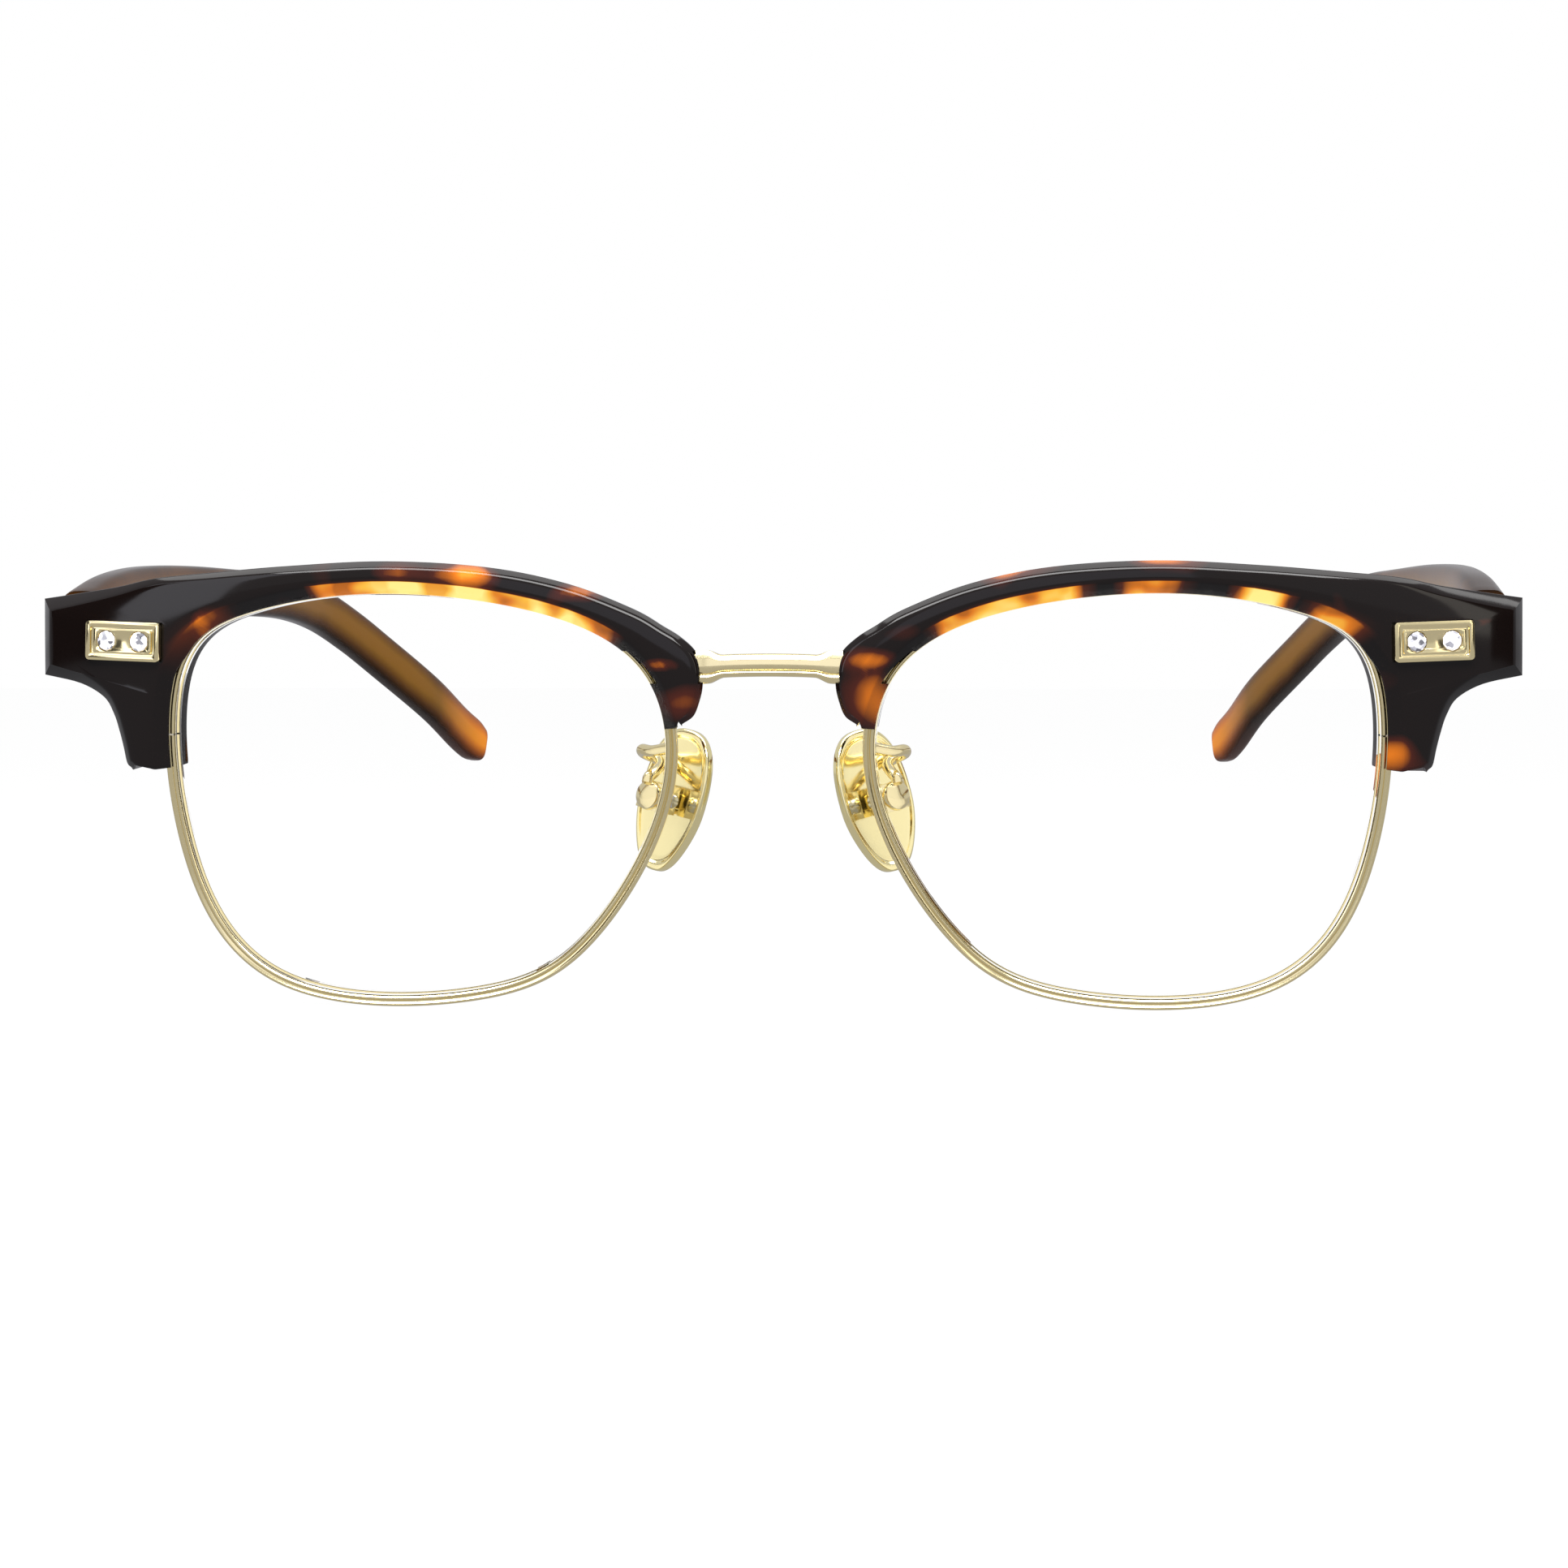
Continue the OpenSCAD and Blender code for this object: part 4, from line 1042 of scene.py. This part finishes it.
@dataclass
class NosePad:
    """Rocking metal pad and the wire arm that carries it."""

    form: FrontForm
    side: Side
    high: float = 14.3
    wide: float = 8.3
    splay: float = 52.0
    lean: float = 15.5
    # wire, outline and hole differ a little from the part, so the rocking pad stays clear of arm and screw
    wire: float = 1.12
    trim: float = 0.985
    screw_hole: float = 0.46

    def __post_init__(self) -> None:
        """Places the pad and its cup."""
        f = self.form
        self.at = Vector((f.bridge_gap / 2 - 0.2, 9.3, -0.45))
        a, b = math.radians(self.splay), math.radians(self.lean)
        self.way = Vector((math.cos(a) * math.cos(b), -math.sin(a), math.cos(a) * math.sin(b)))
        self.frame = Matrix.Translation(self.at) @ Matrix.Rotation(-b, 4, "Y") @ Matrix.Rotation(-a, 4, "Z")

    def build_pad(self) -> None:
        """Lofts the crowned pad from the nose side over its raised border to the back."""
        edge = [(a * self.wide / 2 * (1 - 0.2 * ease(-b)), b * self.high / 2) for a, b in oval(72, 0.8)]
        keys = [(0.04, -0.859), (0.3, -0.85), (0.6, -0.79), (0.82, -0.67), (0.95, -0.46), (1, -0.18),
                (1, 0.3), (0.985, 0.52), (0.95, 0.615), (0.91, 0.6), (0.875, 0.45), (0.83, 0.36),
                (0.6, 0.33), (0.3, 0.31), (0.05, 0.3)]
        rings = []
        for scale, depth in through(keys, 3):
            scale = min(scale, 1.0) * self.trim
            rings.append([self.frame @ Vector((depth, a * scale, b * scale)) for a, b in edge])
        shell = Shell(self.side.node("nose_pad"))
        shell.loft(rings)
        shell.box(self.frame, (0.1, -0.5, -0.75), (1.85, 0.5, 0.75), 0.08)
        pivot = self.frame @ Matrix.Translation((1.85, 0, 0)) @ Matrix.Rotation(math.pi / 2, 4, "Z")
        shell.rod(pivot, 0.75, 1.0, 0.08)
        hole = Shell("pad screw hole")
        hole.rod(pivot, self.screw_hole, 2.0)
        shell.cut_by(hole)
        shell.finish(self.side, self.form.seat, PAD_GOLD, 45.0)

    def build_arm(self) -> None:
        """Sweeps the wire from the back of the eyewire through its loop to the cup."""
        f = self.form
        root = f.lens_off(f.at_height(4.35, -3.4, -1.6), 0.6)
        cup = self.at + self.way * 3.9
        loop = [(-0.6, 0.1, 4.2), (0.5, 1.4, 4.3), (0.5, 2.8, 3.95), (-0.6, 3.4, 3.4), (-1.1, 2.4, 2.8),
                (-0.7, 1.1, 2.2), (-0.2, 0.25, 1.7), (-0.05, 0.1, 1.15)]
        keys = [f.bend(root, f.rim_d + f.rim_t + d) for d in (0.16, 0.7)] + [cup + Vector(k) for k in loop]
        path = through([tuple(k) for k in keys], 8)
        r = self.wire / 2
        shell = Shell(self.side.node("pad_arm"))
        sweep(shell, path, [[(a * r, b * r) for a, b in oval(20, 1.0)]] * len(path), Vector((0, 0, 1)))
        shell.finish(self.side, f.seat, GOLD, 60.0)

    def build(self) -> None:
        """Builds both pieces."""
        self.build_pad()
        self.build_arm()


@dataclass
class Stone:
    """Foil-backed stone: a low faceted dome above its girdle, with a flat table."""

    form: FrontForm
    side: Side
    across: int
    diameter: float = 2.0
    off_centre: float = 1.8
    proud: float = 0.36
    girdle: float = 0.1
    table: float = 0.72
    flatness: float = 0.34

    def build(self) -> None:
        """Cuts a faceted ball at the girdle and the table and flattens it."""
        f = self.form
        seat = f.local(f.plaque_at, 0, Vector((1, 0))) @ Matrix.Rotation(math.radians(f.plaque_turn), 4, "Y")
        shell = Shell(self.side.node("stone_outer" if self.across > 0 else "stone_inner"))
        bmesh.ops.create_icosphere(shell.bm, subdivisions=2, radius=self.diameter / 2)
        for height, low in ((self.girdle, True), (self.table, False)):
            geom = shell.bm.verts[:] + shell.bm.edges[:] + shell.bm.faces[:]
            cut = bmesh.ops.bisect_plane(shell.bm, geom=geom, plane_co=(0, 0, height), plane_no=(0, 0, 1),
                                         clear_inner=low, clear_outer=not low)
            edges = [g for g in cut["geom_cut"] if isinstance(g, bmesh.types.BMEdge)]
            bmesh.ops.contextual_create(shell.bm, geom=edges)
        place = (seat @ Matrix.Translation((self.across * self.off_centre, -self.proud, 0))
                 @ Matrix.Rotation(math.pi / 2, 4, "X"))
        bmesh.ops.transform(shell.bm, matrix=place @ Matrix.Diagonal((1, 1, self.flatness, 1)),
                            verts=shell.bm.verts)
        shell.finish(self.side, f.seat, STONE, 0.5)


@dataclass
class Hardware:
    """Small solid: a merged copy of its own node with every sharp edge eased."""

    node: str
    finish: Finish
    ease_mm: float
    flat_deg: float = 1.0
    sharp_deg: float = 35.0

    def build(self) -> None:
        """Copies, merges, eases and dresses the piece."""
        shell = Shell(self.node)
        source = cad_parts[self.node]
        shell.bm.from_mesh(source.data)
        bmesh.ops.transform(shell.bm, matrix=Matrix.Scale(1000, 4) @ source.matrix_world,
                            verts=shell.bm.verts)
        bmesh.ops.remove_doubles(shell.bm, verts=shell.bm.verts, dist=MERGE_MM)
        bmesh.ops.dissolve_limit(shell.bm, angle_limit=math.radians(self.flat_deg), verts=shell.bm.verts,
                                 edges=shell.bm.edges)
        sharp = [e for e in shell.bm.edges
                 if len(e.link_faces) == 2 and e.calc_face_angle(0) > math.radians(self.sharp_deg)]
        bmesh.ops.bevel(shell.bm, geom=sharp, offset=self.ease_mm, segments=2, profile=0.5,
                        affect="EDGES", material=-1, clamp_overlap=True)
        shell.finish(Side.LEFT, Vector((0, 0, 0)), self.finish, 32.0)


@dataclass
class Studio:
    """White table-top studio: soft boxes in front and above, dark flags at both sides and below."""

    lens_mm: float = 109.0
    shift: Pair = (0.0104, -0.0911)
    stand: Triple = (0.0306, -0.449 - 0.074588, 0.035491)
    turn: float = 3.9
    cards: Tuple[Tuple[str, Triple, Pair, str, float], ...] = (
        ("top box", (0.0, -0.05, 0.6), (0.9, 0.35), "#ffffff", 4.5),
        ("left box", (-0.55, -0.5, 0.25), (0.3, 0.5), "#f4f6ff", 2.5),
        ("right box", (0.6, -0.45, 0.2), (0.25, 0.4), "#fffaf0", 2.2),
        ("front panel", (0.05, -0.9, 0.1), (0.5, 0.5), "#e2e4f0", 1.4),
        ("line box", (0.0, -0.55, 0.62), (1.0, 0.35), "#ffffff", 14.0),
        ("left flag", (-0.42, -0.28, 0.05), (0.14, 0.5), "#1c1a18", 0),
        ("right flag", (0.42, -0.28, 0.05), (0.14, 0.5), "#1c1a18", 0),
        ("low flag", (0.0, -0.5, -0.25), (0.7, 0.2), "#2a2a2e", 0))

    def card(self, name: str, at: Vector, size: Pair, tone: str, strength: float) -> None:
        """Adds a card that faces the middle of the glasses and that the camera does not see.

        Args:
            name: object name.
            at: centre in metres.
            size: width and height in metres.
            tone: colour.
            strength: light it gives; 0 makes a matt flag.
        """
        bm = bmesh.new()
        bmesh.ops.create_grid(bm, x_segments=1, y_segments=1, size=0.5)
        turn = (Vector((0, -0.03, 0.03)) - at).to_track_quat("Z", "Y").to_matrix().to_4x4()
        bmesh.ops.transform(bm, matrix=Matrix.Translation(at) @ turn @ Matrix.Diagonal((*size, 1, 1)),
                            verts=bm.verts)
        paint = blank_material(name)
        kind = "ShaderNodeEmission" if strength else "ShaderNodeBsdfDiffuse"
        values = {"Color": hex_to_linear(tone)}
        if strength:
            values["Strength"] = strength
        shader = add_node(paint.node_tree, kind, values=values)
        add_node(paint.node_tree, "ShaderNodeOutputMaterial", values={"Surface": shader.outputs[0]})
        made = link_mesh(name, bm)
        made.data.materials.append(paint)
        made.visible_camera = made.visible_shadow = made.visible_transmission = False

    @staticmethod
    def seen(tree: bpy.types.NodeTree) -> bpy.types.NodeSocket:
        """Switch that is 1 for rays of the camera and rays that went through a lens, else 0."""
        path = add_node(tree, "ShaderNodeLightPath")
        return add_node(tree, "ShaderNodeMath", {"operation": "MAXIMUM"}, {
            0: path.outputs["Is Camera Ray"], 1: path.outputs["Is Transmission Ray"]}).outputs[0]

    def world(self) -> None:
        """White for the camera and through the lenses, soft grey for reflections and fill."""
        scene = bpy.context.scene
        scene.world = bpy.data.worlds.new("studio")
        scene.world.use_nodes = True
        tree = scene.world.node_tree
        tree.nodes.clear()
        tone = add_node(tree, "ShaderNodeMix", {"data_type": "RGBA"}, {
            "Factor": self.seen(tree), 6: hex_to_linear("#cfd0d4"), 7: hex_to_linear("#ffffff")}).outputs[2]
        sky = add_node(tree, "ShaderNodeBackground", values={"Color": tone, "Strength": 1.0})
        add_node(tree, "ShaderNodeOutputWorld", values={"Surface": sky.outputs[0]})

    def floor(self) -> None:
        """White floor that still takes a faint shadow."""
        bm = bmesh.new()
        bmesh.ops.create_grid(bm, x_segments=1, y_segments=1, size=3.0)
        paint = blank_material("white floor")
        tree = paint.node_tree
        matt = add_node(tree, "ShaderNodeBsdfDiffuse", values={"Color": hex_to_linear("#f4f4f4")})
        light = add_node(tree, "ShaderNodeEmission", values={
            "Color": hex_to_linear("#ffffff"), "Strength": 1.0})
        dim = add_node(tree, "ShaderNodeEmission", values={
            "Color": hex_to_linear("#b4b4b8"), "Strength": 1.0})
        front = add_node(tree, "ShaderNodeMixShader", values={
            0: 0.97, 1: matt.outputs[0], 2: light.outputs[0]})
        both = add_node(tree, "ShaderNodeMixShader", values={
            0: self.seen(tree), 1: dim.outputs[0], 2: front.outputs[0]})
        add_node(tree, "ShaderNodeOutputMaterial", values={"Surface": both.outputs[0]})
        made = link_mesh("floor", bm)
        made.data.materials.append(paint)

    def camera(self) -> None:
        """Places the camera level with the brows and a little to the right."""
        data = bpy.data.cameras.new("camera")
        data.lens, data.sensor_width, data.clip_start = self.lens_mm, 36, 0.01
        data.shift_x, data.shift_y = self.shift
        made = bpy.data.objects.new("camera", data)
        made.location = self.stand
        made.rotation_euler = (math.pi / 2, 0, math.radians(self.turn))
        bpy.context.scene.collection.objects.link(made)
        bpy.context.scene.camera = made

    def build(self) -> None:
        """Sets world, floor, cards and camera."""
        bpy.context.scene.view_settings.view_transform = "Standard"
        self.world()
        self.floor()
        for name, at, size, tone, strength in self.cards:
            self.card(name, Vector(at), size, tone, strength)
        self.camera()
        log.info("studio: cards, floor and camera set")


HARDWARE: Tuple[Tuple[str, Finish, float], ...] = (
    ("plaque", GOLD, 0.09), ("bracket", GOLD, 0.08),
    ("brow_screw", STEEL, 0.04), ("block_upper", GOLD, 0.08), ("block_lower", GOLD, 0.08),
    ("block_screw", STEEL, 0.04), ("hinge_front", GOLD, 0.06), ("hinge_screw", STEEL, 0.05),
    ("hinge_temple", GOLD, 0.05), ("temple_core", GOLD, 0.08), ("pad_box", GOLD, 0.06),
    ("pad_screw", STEEL, 0.04))
LIT: Dict[Side, Tuple[Triple, ...]] = {
    Side.RIGHT: ((15.5, 43.5, 0.85), (26.5, 37.0, 1.35), (18.5, 23.5, 1.2), (52.8, 57.0, 0.3)),
    Side.LEFT: ((16.5, 29.5, 0.85), (34.0, 38.7, 0.8), (45.0, 48.7, 1.1), (51.8, 55.5, 0.6))}
# places along the front, in millimetres from the middle and from the height of the lens centres
CLOUDS: Dict[Side, Tuple[Cloud, ...]] = {
    Side.RIGHT: ((35.8, 21.4, 3.0, 1.0, 0.55), (29.5, 21.2, 4.5, 1.0, 0.5), (18.0, 19.5, 3.0, 1.0, 0.4),
                 (10.4, 12.7, 2.4, 0.9, 0.8), (9.4, 8.4, 2.6, 2.4, 0.5), (55.2, 16.4, 0.9, 1.4, 0.6),
                 (57.0, 12.0, 1.2, 3.0, 0.35)),
    Side.LEFT: ((9.6, 13.2, 3.2, 1.0, 0.55), (10.9, 9.2, 2.0, 3.0, 0.55), (12.5, 16.0, 2.5, 1.5, 0.3),
                (59.7, 4.4, 2.0, 1.7, 0.5), (68.0, 16.9, 0.9, 0.7, 0.4), (36.5, 22.8, 3.0, 0.7, 0.4),
                (24.0, 21.5, 4.0, 0.8, 0.35))}


def main() -> None:
    """Builds every piece in order and sets the studio."""
    form = FrontForm()
    for side in Side:
        Brow(form, side, LIT[side], CLOUDS[side]).build()
        Eyewire(form, side).build()
        Lens(form, side).build()
        Temple(form, side).build()
        NosePad(form, side).build()
        Stone(form, side, -1).build()
        Stone(form, side, 1).build()
        for name, finish, ease_mm in HARDWARE:
            Hardware(side.node(name), finish, ease_mm).build()
    Bridge(form).build()
    Studio().build()


if __name__ == "__main__":
    main()
